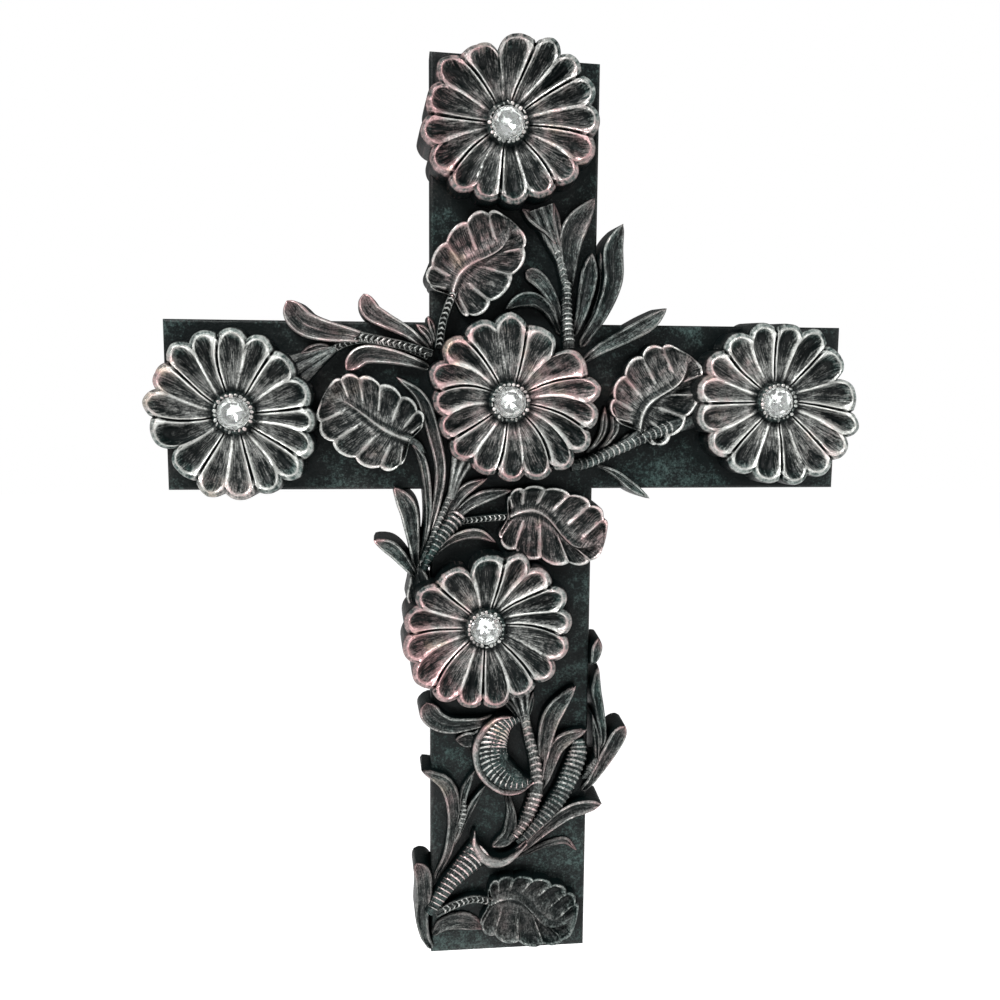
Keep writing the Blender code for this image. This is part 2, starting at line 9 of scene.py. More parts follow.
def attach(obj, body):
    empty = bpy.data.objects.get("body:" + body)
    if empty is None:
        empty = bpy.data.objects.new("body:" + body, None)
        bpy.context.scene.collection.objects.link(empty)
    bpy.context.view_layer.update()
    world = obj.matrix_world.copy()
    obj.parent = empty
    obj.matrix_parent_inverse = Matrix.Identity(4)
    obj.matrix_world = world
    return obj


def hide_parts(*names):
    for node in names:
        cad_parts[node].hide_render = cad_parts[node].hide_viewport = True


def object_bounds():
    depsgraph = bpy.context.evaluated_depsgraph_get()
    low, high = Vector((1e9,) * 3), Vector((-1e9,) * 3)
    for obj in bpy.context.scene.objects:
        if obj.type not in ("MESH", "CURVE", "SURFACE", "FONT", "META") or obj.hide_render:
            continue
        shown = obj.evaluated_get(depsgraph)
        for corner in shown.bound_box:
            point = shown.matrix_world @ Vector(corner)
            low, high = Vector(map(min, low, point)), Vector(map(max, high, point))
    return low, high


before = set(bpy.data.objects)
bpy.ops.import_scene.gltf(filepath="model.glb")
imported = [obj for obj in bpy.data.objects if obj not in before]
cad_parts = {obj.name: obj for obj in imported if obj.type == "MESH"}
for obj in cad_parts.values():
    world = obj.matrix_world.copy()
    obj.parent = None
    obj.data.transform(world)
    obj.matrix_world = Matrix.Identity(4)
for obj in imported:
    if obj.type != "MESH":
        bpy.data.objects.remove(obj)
solid_low, solid_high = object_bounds()


# The view: the cross hangs flat on a wall and is looked at from just left of its middle, from less than
# arm's length, with the eye level with the arms.
EYE = Vector((-0.04351, -0.38211, 0.01099))
EYE_TILT, EYE_PAN, EYE_ROLL = (math.radians(angle) for angle in (-7.2119, -5.9926, -0.4378))


def shown(name, data):
    """Puts a mesh, a lamp or a camera into the scene under its name."""
    made = bpy.data.objects.new(name, data)
    bpy.context.scene.collection.objects.link(made)
    return made


panned = Matrix.Rotation(EYE_PAN, 3, "Z") @ Matrix.Rotation(EYE_TILT, 3, "X")
turned = panned @ Matrix.Rotation(EYE_ROLL, 3, "Y")
rightward, forward, upward = turned.col[0], turned.col[1], turned.col[2]
lens = bpy.data.cameras.new("front_view")
lens.lens = 34.67
lens.sensor_width = 36
lens.clip_start = 0.01
eye = shown("front_view", lens)
eye.matrix_world = Matrix((rightward, upward, -forward)).transposed().to_4x4()
eye.matrix_world.translation = EYE
bpy.context.scene.camera = eye


# The board: a plain Latin cross, cast with everything on it in one pour of resin. Its ends are cut
# square, its front edge is softened, its face carries low tool marks, and its back is struck off flat.
# The whole casting is sprayed near-black green and then wiped and rubbed with silver and rose metal.
MM = 0.001
HALF_BAR = 31.75
HALF_SPAN = 130.0
TOP_END = 129.5
FOOT_END = -223.5
TOP_FALL = 2.0
BOARD_FACE = 12.0
KEYHOLE_FOOT = 84.0
KEYHOLE_RISE = 11.0
KEYHOLE_HEAD, KEYHOLE_NECK = 6.0, 3.25
KEYHOLE_LIP, KEYHOLE_FLOOR = 2.5, 8.0
EDGE_WIDTH = 1.2
TOOL_STEP = 1.6
TOOL_MARK = 0.07
SIDE_LEVELS = (8.0, 4.0, 0.6, 0.0)
BACK_CHAMFER = 0.4
casting = []


class Shade:
    """One output of a recipe's nodes. Arithmetic on it adds Math nodes."""

    def __init__(self, recipe, socket):
        self.recipe = recipe
        self.socket = socket

    def worked(self, operation, first, second):
        return self.recipe.add("ShaderNodeMath", {"operation": operation}, {0: first, 1: second})

    def __add__(self, other):
        return self.worked("ADD", self, other)

    def __radd__(self, other):
        return self.worked("ADD", other, self)

    def __sub__(self, other):
        return self.worked("SUBTRACT", self, other)

    def __rsub__(self, other):
        return self.worked("SUBTRACT", other, self)

    def __mul__(self, other):
        return self.worked("MULTIPLY", self, other)

    def __rmul__(self, other):
        return self.worked("MULTIPLY", other, self)

    def held(self):
        return self.worked("MAXIMUM", self.worked("MINIMUM", self, 1.0), 0.0)

    def stepped(self, low, high):
        """0 below low, 1 above high, and a smooth rise between them."""
        sockets = {"Value": self, "From Min": low, "From Max": high}
        return self.recipe.add("ShaderNodeMapRange", {"interpolation_type": "SMOOTHSTEP"}, sockets, "Result")


class Recipe:
    """A material or surround that is built up node by node, and the node that ends it."""

    def __init__(self, made, last="Principled BSDF"):
        made.use_nodes = True
        self.made = made
        self.tree = made.node_tree
        self.last = self.tree.nodes[last]

    def join(self, value, slot):
        if isinstance(value, Shade):
            self.tree.links.new(value.socket, slot)
        else:
            slot.default_value = value

    def add(self, kind, settings, sockets, result=0):
        node = self.tree.nodes.new(kind)
        for name, value in settings.items():
            setattr(node, name, value)
        for name, value in sockets.items():
            self.join(value, node.inputs[name])
        return Shade(self, node.outputs[result])

    def feed(self, name, value):
        self.join(value, self.last.inputs[name])

    def noise(self, where, scale, detail=3.0, roughness=0.6):
        sockets = {"Vector": where, "Scale": scale, "Detail": detail, "Roughness": roughness}
        return self.add("ShaderNodeTexNoise", {}, sockets)

    def blended(self, share, first, second):
        return self.add("ShaderNodeMix", {"data_type": "RGBA"}, {0: share, 6: first, 7: second}, 2)


# Colours of the finish, as linear light
WASH_DARK = (0.0008, 0.0026, 0.0027, 1)
WASH_GREY = (0.030, 0.056, 0.052, 1)
SILVER_RUB = (0.66, 0.67, 0.64, 1)
ROSE_RUB = (0.56, 0.27, 0.28, 1)
COPPER_RUB = (0.52, 0.33, 0.24, 1)


def antiqued(name, streak_length, streaks, grey, sheen):
    """Near-black resin whose high places are rubbed with silver and rose. On every point of the casting,
    proud and swell say how far it stands over what is next to it and a little further off, open how far
    over its wider neighbourhood, all in millimetres, and rosy how much rose the cloth left there. Low open
    paints the wash darker as painted shade of the relief round it, and the back's raised open paints it
    lighter as painted light."""
    made = Recipe(bpy.data.materials.new(name))
    place = made.add("ShaderNodeTexCoord", {}, {}, "Object")
    along = made.add("ShaderNodeUVMap", {"uv_map": "grain"}, {})
    proud, swell, open_and_painted_shading, rosy = (
        made.add("ShaderNodeAttribute", {"attribute_name": kept}, {}, "Fac")
        for kept in ("proud", "swell", "open", "rosy")
    )
    drawn = made.add("ShaderNodeMapping", {}, {"Vector": along, "Scale": (1.0, streak_length, 1.0)})
    streak = made.noise(drawn, 3.0, 4.0, 0.62)
    fine = made.noise(place, 1300.0, 3.0, 0.65)
    patch = made.noise(place, 210.0, 5.0, 0.68)
    broad = made.noise(place, 34.0, 2.0, 0.5)
    uneven = (patch - 0.5) * 0.9 + (fine - 0.5) * 1.1
    wear = (broad * 0.8 + patch * 0.6).stepped(0.5, 0.86)
    edge = (proud * 2.8 + swell * 1.1 + uneven * 1.2).stepped(0.26, 1.0) * (0.36 + wear * 0.64)
    # Partly painted shade: open adds metal on high places and takes it off low places and side walls, partly
    # real rubbing and partly painted shade.
    drag = (streak - 0.5) * (2.2 * streaks) + uneven * 0.9 + swell * 0.9 + open_and_painted_shading * 0.03 + (broad - 0.5)
    metal = (edge + drag.stepped(-0.5, 1.05) * (1.0 - edge) * sheen).held()
    rose = (rosy + (broad - 0.5) * 1.3 + (patch - 0.5) * 0.9).stepped(0.2, 0.72)
    copper = made.noise(place, 70.0, 2.0, 0.5).stepped(0.6, 0.7)
    rub = made.blended(rose * 0.75, SILVER_RUB, made.blended(copper, ROSE_RUB, COPPER_RUB))
    # Painted shade and light: where open is low, beside taller relief and on side walls, the wash is painted
    # darker as shade, and on the back lighter as painted light; the noise is the real wiping.
    wiped_and_painted_shading = patch * 0.9 + streak * 0.4 + (fine - 0.5) * 0.8 + open_and_painted_shading * 0.06
    ground = wiped_and_painted_shading.stepped(0.67 - grey, 1.07 - grey)
    made.feed("Base Color", made.blended(metal, made.blended(ground, WASH_DARK, WASH_GREY), rub))
    made.feed("Metallic", metal * 0.8)
    made.feed("Roughness", 0.44 - metal * 0.12 + (fine - 0.5) * 0.25)
    made.feed("Specular IOR Level", 0.14)
    relief = streak * (0.5 * streaks) + patch * 0.8 + fine * 0.5
    bump = {"Height": relief, "Strength": 0.7, "Distance": 0.0004}
    made.feed("Normal", made.add("ShaderNodeBump", {}, bump))
    return made.made


def waves(seed, x, z, size):
    """Smooth uneven ground from a few crossing waves, between about -1 and 1."""
    rng = np.random.default_rng(seed)
    total = np.zeros(np.broadcast(x, z).shape)
    for _ in range(7):
        angle = rng.uniform(0, math.tau)
        length = size * rng.uniform(0.6, 1.8)
        along = x * math.cos(angle) + z * math.sin(angle)
        total = total + np.sin(along * math.tau / length + rng.uniform(0, 6))
    return total / 4


def smooth(value, low, high):
    share = np.clip((value - low) / (high - low), 0, 1)
    return share * share * (3 - 2 * share)


def cut_keyhole(bm):
    """The recess that takes a screw's head, with a lip in front of it. Returns its edges on the back."""
    corner = math.acos(KEYHOLE_NECK / KEYHOLE_HEAD)

    def arc(radius, height, first, last, count):
        turns = np.linspace(first, last, count)
        return [(radius * math.cos(a), height + radius * math.sin(a)) for a in turns]

    top = KEYHOLE_FOOT + KEYHOLE_RISE
    neck = (arc(KEYHOLE_HEAD, KEYHOLE_FOOT, 0, corner, 5) + arc(KEYHOLE_NECK, top, 0, math.pi, 11)
            + arc(KEYHOLE_HEAD, KEYHOLE_FOOT, math.pi - corner, math.pi, 5))
    bowl = arc(KEYHOLE_HEAD, KEYHOLE_FOOT, math.pi, math.tau, 17)[1:-1]
    wide = arc(KEYHOLE_HEAD, top, 0, math.pi, 15)

    def level(spots, depth):
        return [bm.verts.new((x, -depth, z)) for x, z in spots]

    def wall(near, far):
        for i in range(len(near)):
            bm.faces.new((near[i], near[(i + 1) % len(near)], far[(i + 1) % len(far)], far[i]))

    outer, inner = level(neck + bowl, 0), level(neck + bowl, KEYHOLE_LIP)
    wall(outer, inner)
    hidden = level(wide, KEYHOLE_LIP)
    right, left, low = inner[0], inner[len(neck) - 1], inner[len(neck):]
    bm.faces.new(inner[:len(neck)] + hidden[::-1])
    channel = [right] + hidden + [left] + low
    ends = level([(v.co.x, v.co.z) for v in channel], KEYHOLE_FLOOR)
    wall(channel, ends)
    bm.faces.new(ends)
    return [bm.edges.get((outer[i], outer[(i + 1) % len(outer)])) for i in range(len(outer))]


def make_board(finish):
    fillet = (0.0, 0.15, 0.4, 0.75, EDGE_WIDTH)

    def lines(low, high):
        """Grid lines across a bar, close together at both of its edges."""
        first, last = [low + f for f in fillet], [high - f for f in fillet]
        inner = np.linspace(low + EDGE_WIDTH, high - EDGE_WIDTH, max(2, round((high - low) / TOOL_STEP)))
        return np.unique(np.concatenate((first, inner, last)).round(5))

    def all_lines(low, high):
        """Grid lines from one end of the cross to the other, close together at the crossing too."""
        before, beyond = lines(low, -HALF_BAR + EDGE_WIDTH), lines(HALF_BAR - EDGE_WIDTH, high)
        return np.unique(np.concatenate((before, lines(-HALF_BAR, HALF_BAR), beyond)).round(4))

    x, z = np.meshgrid(all_lines(-HALF_SPAN, HALF_SPAN), all_lines(FOOT_END, TOP_END))
    upright = np.minimum(HALF_BAR - np.abs(x), np.minimum(TOP_END - z, z - FOOT_END))
    level = np.minimum(HALF_SPAN - np.abs(x), HALF_BAR - np.abs(z))
    depth = np.maximum(upright, level)
    drop = np.clip(1 - depth / EDGE_WIDTH, 0, 1)
    height = BOARD_FACE - EDGE_WIDTH * (1 - np.sqrt(1 - drop**2))
    height = height - TOOL_MARK * (1 + waves(11, x, z, 9)) * smooth(depth, 0, 3)
    fall = TOP_FALL * (x + HALF_BAR) / (2 * HALF_BAR) * smooth(z, HALF_BAR, TOP_END)
    z = np.where(np.abs(x) <= HALF_BAR + 0.01, z - fall * (z > HALF_BAR), z)
    bm = bmesh.new()
    grid = {}
    rows, columns = x.shape
    for i in range(rows - 1):
        for j in range(columns - 1):
            middle = depth[i:i + 2, j:j + 2].mean()
            if middle <= 1e-6 or depth[i:i + 2, j:j + 2].min() < -1e-6:
                continue
            corners = []
            for key in ((i, j), (i, j + 1), (i + 1, j + 1), (i + 1, j)):
                if key not in grid:
                    grid[key] = bm.verts.new((x[key], -height[key], z[key]))
                corners.append(grid[key])
            bm.faces.new(corners)
    edge = [e for e in bm.edges if len(e.link_faces) == 1]
    for level_height in SIDE_LEVELS:
        made = bmesh.ops.extrude_edge_only(bm, edges=edge)["geom"]
        for vert in (item for item in made if isinstance(item, bmesh.types.BMVert)):
            vert.co.y = -level_height
            if level_height == 0.0:
                vert.co.x *= 1 - BACK_CHAMFER / max(abs(vert.co.x), 1)
                vert.co.z *= 1 - BACK_CHAMFER / max(abs(vert.co.z), 1)
        edge = [item for item in made if isinstance(item, bmesh.types.BMEdge)
                and all(abs(v.co.y + level_height) < 1e-6 for v in item.verts)]
    bmesh.ops.triangle_fill(bm, edges=edge + cut_keyhole(bm), use_beauty=True)
    for vert in bm.verts:
        vert.co = vert.co * MM
    bmesh.ops.recalc_face_normals(bm, faces=bm.faces)
    layer = bm.loops.layers.uv.new("grain")
    for face in bm.faces:
        for loop in face.loops:
            loop[layer].uv = (loop.vert.co.x / MM, loop.vert.co.z / MM)
    mesh = bpy.data.meshes.new("board")
    bm.to_mesh(mesh)
    bm.free()
    mesh.materials.append(finish)
    mesh.shade_smooth()
    mesh.set_sharp_from_angle(angle=math.radians(40))
    piece = shown("board", mesh)
    casting.append(piece)
    return piece


BOARD_FINISH = antiqued("board_finish", 0.8, 0.25, 0.1, 0.08)
board = make_board(BOARD_FINISH)
board["dull"] = 0.6


# The flowers: five open blossoms of eight petals, cast with the board. A petal is two scooped lobes
# with a rounded rib between them, it parts from the next in a deep slit between two fine cords, and
# its rim rolls over. A row: the slit's bearing at the rim and at the heart, both lobes' reach, the notch.
FLOWERS = {
    "top": ((-3.5, 103), (
        (129, 122, 28.5, 30.5, 0.143), (71, 80, 33.5, 33.5, 0.08), (33, 40, 34, 33.5, 0.07),
        (-8, -2, 33.5, 31.5, 0.075), (-51, -43, 29.5, 29.5, 0.075), (-97, -100, 29.5, 31.5, 0.075),
        (-138, -151, 32.5, 32.5, 0.08), (-183, -184, 30.5, 32.5, 0.08),
    )),
    "left": ((-104, -2.5), (
        (141, 153, 32.5, 31.5, 0.075), (99, 109, 31, 30.5, 0.08), (56, 57, 29, 29.5, 0.07),
        (5, 1, 30, 32, 0.075), (-34, -40, 33.5, 32.5, 0.08), (-74, -74, 32, 32, 0.07),
        (-119, -116, 29, 30, 0.15), (-177, -167, 32, 30.5, 0.08),
    )),
    "centre": ((-2, 2), (
        (171, 150, 32.5, 33, 0.08), (126, 120, 32.5, 33.5, 0.075), (78, 72, 30, 32, 0.19),
        (19, 30, 35, 34, 0.08), (-19, -6, 34.5, 33.5, 0.075), (-57, -41, 31.5, 30, 0.08),
        (-101, -96, 29, 29.5, 0.07), (-148, -145, 28.5, 29, 0.075),
    )),
    "right": ((102.5, 2.5), (
        (96, 97, 30, 31.5, 0.075), (51, 49, 29.5, 30.5, 0.16), (-7, 0, 34, 34, 0.08),
        (-45, -39, 34, 33, 0.075), (-87, -80, 31.5, 31.5, 0.07), (-134, -130, 32.5, 33.5, 0.08),
        (-179, -179, 33.5, 33.5, 0.075), (-220, -219, 32.5, 31.5, 0.08),
    )),
    "lower": ((-10.5, -85.5), (
        (136, 135, 28, 29.5, 0.15), (76, 74, 33, 32.5, 0.08), (35, 48, 34, 33.5, 0.075),
        (-4, 9, 33, 32, 0.08), (-47, -43, 30.5, 31.5, 0.07), (-93, -93, 31.5, 33, 0.075),
        (-133, -141, 34, 33, 0.08), (-179, -179, 32, 31, 0.075),
    )),
}
RIB_STRENGTHS = {
    "top": (0.6, 0.9, 1.25, 1.0, 1.3, 0.5, 0.7, 1.3),
    "left": (0.9, 0.6, 0.7, 0.9, 0.8, 1.0, 0.9, 0.8),
    "centre": (0.9, 0.35, 0.7, 1.1, 1.0, 0.6, 0.9, 1.0),
    "right": (0.7, 0.8, 1.1, 0.5, 0.9, 0.8, 1.1, 0.6),
    "lower": (0.8, 0.7, 1.0, 0.6, 0.9, 1.1, 0.7, 0.9),
}
ROSE_LEFT = {"top": 0.85, "left": 0.35, "centre": 0.92, "right": 0.3, "lower": 0.9}
PETAL_SAMPLES = 60
RIM_TOP = 24.3
HEART_TOP = 18.9
CREST_SHARE = 0.935
SLIT_NOTCH = 0.075
NOTCH_GROWTH = 1.2
LOBE_ROUNDNESS = 0.85
SCOOP_DEPTH = 3.4
SLIT_DEPTH = 2.8
ROLL_DROP = 2.6
CUP_RADIUS = 6.4
HEART_RADIUS = 8.1
BEZEL_TOP = 20.9
CUP_FLOOR = 16.8
INSET = 0.04
LIMIT_LOW = np.array(solid_low) / MM + INSET
LIMIT_HIGH = np.array(solid_high) / MM - INSET


def cast(name, rings, grain, finish, crest=None, folded=False):
    """A closed piece of the casting: a skin through rings of (x, height over the wall, z) points in
    millimetres, capped at both ends, or shut along its first ring where that is folded in two. grain
    gives each point's place across and along, for streaks, and crest how much of a ridge it is."""
    count, around = rings.shape[:2]
    points = rings.reshape(-1, 3)
    points = np.stack((points[:, 0], -points[:, 1], points[:, 2]), axis=1)
    points = np.clip(points, LIMIT_LOW, LIMIT_HIGH) * MM
    here = np.arange(around)
    there = (here + 1) % around
    row = np.arange(count - 1)[:, None] * around
    faces = np.stack((row + here, row + there, row + around + there, row + around + here), axis=-1)
    faces = faces.reshape(-1, 4)
    caps = [list(range((count - 1) * around, count * around))]
    if not folded:
        caps.append(list(range(around))[::-1])
    mesh = bpy.data.meshes.new(name)
    mesh.from_pydata(points.tolist(), [], faces.tolist() + caps)
    layer = mesh.uv_layers.new(name="grain")
    wide = np.concatenate((grain, grain[:, :1]), axis=1)
    quads = np.stack((wide[:-1, :-1], wide[:-1, 1:], wide[1:, 1:], wide[1:, :-1]), axis=2).reshape(-1, 2)
    flat = np.zeros((len(mesh.loops), 2))
    flat[: len(quads)] = quads
    layer.data.foreach_set("uv", flat.ravel())
    if crest is not None:
        ridges = mesh.attributes.new("crest", "FLOAT", "POINT")
        ridges.data.foreach_set("value", np.ravel(crest).astype(np.float32))
    if folded:
        merge_seam(mesh)
    mesh.materials.append(finish)
    mesh.validate()
    if outward(mesh) < 0:
        mesh.flip_normals()
    mesh.shade_smooth()
    mesh.set_sharp_from_angle(angle=math.radians(50))
    piece = shown(name, mesh)
    casting.append(piece)
    return piece


def merge_seam(mesh):
    """Joins points that lie on each other, as along the fold of a leaf."""
    bm = bmesh.new()
    bm.from_mesh(mesh)
    bmesh.ops.remove_doubles(bm, verts=bm.verts, dist=0.001 * MM)
    bm.to_mesh(mesh)
    bm.free()


def outward(mesh):
    """Six times the mesh's volume, which is negative if its faces point inwards."""
    mesh.calc_loop_triangles()
    corners = np.zeros(len(mesh.vertices) * 3)
    mesh.vertices.foreach_get("co", corners)
    corners = corners.reshape(-1, 3)
    order = np.zeros(len(mesh.loop_triangles) * 3, dtype=np.int64)
    mesh.loop_triangles.foreach_get("vertices", order)
    a, b, c = corners[order.reshape(-1, 3)].transpose(1, 0, 2)
    return float(np.einsum("ij,ij->i", a, np.cross(b, c)).sum())


def rounded_min(a, b, blend):
    """The smaller of two distances, with a rounded corner where they cross."""
    share = np.clip(0.5 + 0.5 * (b - a) / blend, 0, 1)
    return b + (a - b) * share - blend * share * (1 - share)


def petal_columns(petals):
    """For each column of a flower's surface: its share across its petal, the bearings of the slits on both
    sides at the rim and at the heart, its reach, its petal's number, and how full its lobe is there."""
    columns = []
    spaced = np.arange(PETAL_SAMPLES) / PETAL_SAMPLES
    shares = spaced - 0.55 * np.sin(2 * math.tau * spaced) / (2 * math.tau)
    for i, (rim_slit, heart_slit, first, second, notch) in enumerate(petals):
        turn = 0 if i + 1 < len(petals) else -360
        following = petals[(i + 1) % len(petals)]
        rim_next, heart_next = following[0] + turn, following[1] + turn
        before, after = petals[i - 1][3], following[2]
        reaches = ((before + first) / 2, first, (first + second) / 2, second, (second + after) / 2)
        for t in shares:
            reach = np.interp(t, (0, 0.25, 0.5, 0.75, 1), reaches)
            lobe = t * 2 % 1
            full = (4 * lobe * (1 - lobe)) ** LOBE_ROUNDNESS
            toward_rib = lobe if t < 0.5 else 1 - lobe
            cut = SLIT_NOTCH + (notch * NOTCH_GROWTH - SLIT_NOTCH) * toward_rib
            reach *= 1 - cut * (1 - full)
            columns.append((t, rim_slit, rim_next, heart_slit, heart_next, reach, i, full))
    return np.array(columns).T


def make_flower(name, middle, petals, strengths, foot, finish, seed):
    t, rim_slit, rim_next, heart_slit, heart_next, reach, number, full = petal_columns(petals)
    number = number.astype(int)
    rng = np.random.default_rng(seed)
    lift = rng.uniform(-0.6, 0, 8)[number]
    scoop = rng.uniform(0.8, 1.15, 16)[number * 2 + (t > 0.5)]
    strength = np.array(strengths)[number]
    sway = rng.uniform(-0.07, 0.07, 8)[number]
    bends = rng.uniform(-2.4, 2.4, 8)
    crest = reach * (CREST_SHARE - 0.03 * (1 - full))

    def bearing(out):
        bow = math.sin(math.pi * out)
        slit = heart_slit + (rim_slit - heart_slit) * out + bends[number] * bow
        following = heart_next + (rim_next - heart_next) * out + bends[(number + 1) % 8] * bow
        return np.radians(slit + (following - slit) * t), np.radians(np.abs(following - slit))

    rings, grain, crests = [], [], []

    def add_ring(radius, height, angle, ridge=0.0, streaks=16):
        crests.append(np.broadcast_to(ridge, angle.shape))
        rings.append(np.stack((middle[0] + radius * np.cos(angle), np.broadcast_to(height, angle.shape),
                               middle[1] + radius * np.sin(angle)), axis=1))
        grain.append(np.stack((angle * streaks, np.broadcast_to(radius, angle.shape)), axis=1))

    def marks(out, radius, width):
        """Distances in millimetres to the petal's rib and to the slit on its nearer side."""
        rib_at = 0.5 + sway * math.sin(math.pi * out)
        return np.abs(t - rib_at) * width * radius, np.minimum(t, 1 - t) * width * radius

    angle, _ = bearing(0)
    for radius, height in ((0.5, CUP_FLOOR), (CUP_RADIUS - 0.4, CUP_FLOOR), (CUP_RADIUS, CUP_FLOOR + 0.4),
                           (CUP_RADIUS, BEZEL_TOP - 0.35), (CUP_RADIUS + 0.15, BEZEL_TOP),
                           (CUP_RADIUS + 0.5, BEZEL_TOP - 0.1), (CUP_RADIUS + 1.0, BEZEL_TOP - 1.0),
                           (HEART_RADIUS - 0.25, HEART_TOP + 0.1)):
        add_ring(np.full(t.shape, radius), height, angle)
    for out in np.concatenate((np.linspace(0.0, 0.7, 22), np.linspace(0.72, 1.0, 20))):
        angle, width = bearing(out)
        radius = HEART_RADIUS + (crest - HEART_RADIUS) * out
        top = HEART_TOP + (RIM_TOP - HEART_TOP + lift) * out**1.2
        to_rib, to_slit = marks(out, radius, width)
        to_crest = (1 - out) * (crest - HEART_RADIUS)
        rib = (0.3 + 0.28 * out) * (0.6 + 0.5 * strength)
        cord = 0.3 + 0.3 * out
        lip = 0.42 + 0.38 * out
        side = rounded_min(to_rib - rib, to_slit - lip - cord, 1.0)
        clear = rounded_min(side, to_crest - 0.15, 3.6)
        hollow = (0.25 + 0.75 * smooth(out, 0.0, 0.75)) * SCOOP_DEPTH * scoop
        sunk = hollow * np.sin(np.clip(clear / (1.0 + 2.6 * out), 0, 1) * math.pi / 2) ** 0.85
        faint = np.clip(0.95 - strength, 0, 0.6) * hollow * np.exp(-(to_rib / (rib + 0.8)) ** 2)
        faint = faint * smooth(to_crest, 0.3, 3.5)
        rib_crown = 0.5 * rib * np.clip(to_rib / rib, 0, 1) ** 2 * (to_rib < rib + 1)
        lip_crown = 0.5 * cord * np.clip(np.abs(to_slit - lip) / cord, 0, 1) ** 2 * (to_slit < lip + 1)
        slit = SLIT_DEPTH * (0.4 + 0.6 * out) * (1 - 0.8 * smooth(out, 0.86, 1.0))
        slit = slit * smooth(lip - to_slit, 0.05, lip)
        rough = 0.12 * waves(seed, radius * np.cos(angle), radius * np.sin(angle), 3.5)
        high = top - sunk - faint - rib_crown - lip_crown - slit + rough * smooth(out, 0, 0.2) - 0.2
        ridge = 1.1 * np.exp(-(np.maximum(clear, 0) / (0.28 + 0.42 * out)) ** 2) * (1 - faint / hollow)
        add_ring(radius, high, angle, ridge * smooth(to_slit, 0.2 * lip, lip) * smooth(out, -0.25, 0.25))
    base = rings[-1][:, 1]
    angle, width = bearing(1.0)
    for s in (0.12, 0.25, 0.38, 0.52, 0.66, 0.78, 0.88, 0.95, 0.99, 1.0):
        radius = crest + (reach - crest) * s
        to_rib, to_slit = marks(1.0, radius, width)
        crease = 0.45 * np.exp(-(to_rib / 0.6) ** 2) + 0.75 * np.exp(-(to_slit / 0.55) ** 2)
        drop = ROLL_DROP * (1 - math.sqrt(max(0.0, 1 - s**2.2))) + 0.5 * math.sin(math.pi * min(1, s * 1.5))
        add_ring(radius, base - drop - crease * math.sin(math.pi * (0.25 + 0.6 * s)), angle,
                 0.8 - 1.4 * smooth(s, 0.05, 0.4) + 0.3 * smooth(s, 0.5, 0.8), 5)
    edge = rings[-1][:, 1]
    for share, spread in ((0.2, 0.2), (0.45, 0.4), (0.7, 0.6), (1.0, 0.8)):
        add_ring(reach + spread, edge + (foot - edge) * share, angle)
    return cast(name, np.array(rings), np.array(grain), finish, np.array(crests))


RELIEF_FINISH = antiqued("relief_finish", 0.07, 1.0, 0.0, 0.72)
for number, (name, (middle, petals)) in enumerate(FLOWERS.items()):
    flower = make_flower(f"flower_{name}", middle, petals, RIB_STRENGTHS[name], 0.16 + 0.01 * number,
                         RELIEF_FINISH, 31 + number)
    flower["rosy"] = ROSE_LEFT[name]
    flower["middle"] = middle
    flower["dull"] = 0.15 if name == "top" else 0.0


# The beads: small uneven grains, cast in a ring round each stone, where they look as if they held it
# in its cup. They are rubbed with the same metal as the petals, but less.
BEADS = {"Ring radius": 6.7 * MM, "Bead size": 0.68 * MM, "Beads": 24, "Seed": 5}
BEAD_HEIGHT = 21.0
BEAD_SLIP = 0.25 * MM
BEAD_SINK, BEAD_LIFT = 0.2 * MM, 0.15 * MM


def new_tree(name, inputs):
    """An empty node tree for a piece that follows a rule, with its named sizes."""
    tree = bpy.data.node_groups.new(name, "GeometryNodeTree")
    tree.interface.new_socket("Geometry", in_out="INPUT", socket_type="NodeSocketGeometry")
    kinds = {int: "NodeSocketInt", float: "NodeSocketFloat", bpy.types.Material: "NodeSocketMaterial"}
    for label, value in inputs.items():
        kind = next(socket for sort, socket in kinds.items() if isinstance(value, sort))
        tree.interface.new_socket(label, in_out="INPUT", socket_type=kind)
    tree.interface.new_socket("Geometry", in_out="OUTPUT", socket_type="NodeSocketGeometry")
    return tree, tree.nodes.new("NodeGroupInput"), tree.nodes.new("NodeGroupOutput")


def put(tree, kind, settings=None, **sockets):
    """Adds a node to a tree: its settings first, then each socket's value or link, by its name."""
    node = tree.nodes.new(kind)
    for name, value in (settings or {}).items():
        setattr(node, name, value)
    for name, value in sockets.items():
        wanted = name.replace("_", " ")
        socket = next(item for item in node.inputs if item.name == wanted and item.enabled)
        if isinstance(value, bpy.types.NodeSocket):
            tree.links.new(value, socket)
        else:
            socket.default_value = value
    return node


def grown(name, points, edges, tree, inputs, attributes=()):
    """The plain mesh that a tree makes from some points and the lines between them."""
    seedbed = bpy.data.meshes.new(name)
    seedbed.from_pydata(points, edges, [])
    for label, values in attributes:
        seedbed.attributes.new(label, "FLOAT", "POINT").data.foreach_set("value", values)
    carrier = shown(name + "_carrier", seedbed)
    modifier = carrier.modifiers.new("grow", "NODES")
    modifier.node_group = tree
    for item in tree.interface.items_tree:
        if item.item_type == "SOCKET" and item.in_out == "INPUT" and item.name in inputs:
            modifier[item.identifier] = inputs[item.name]
    bpy.context.view_layer.update()
    carrier.update_tag()
    evaluated = carrier.evaluated_get(bpy.context.evaluated_depsgraph_get())
    mesh = bpy.data.meshes.new_from_object(evaluated)
    mesh.name = name
    carrier.modifiers.remove(modifier)
    bpy.data.objects.remove(carrier)
    mesh.validate()
    piece = shown(name, mesh)
    casting.append(piece)
    return piece


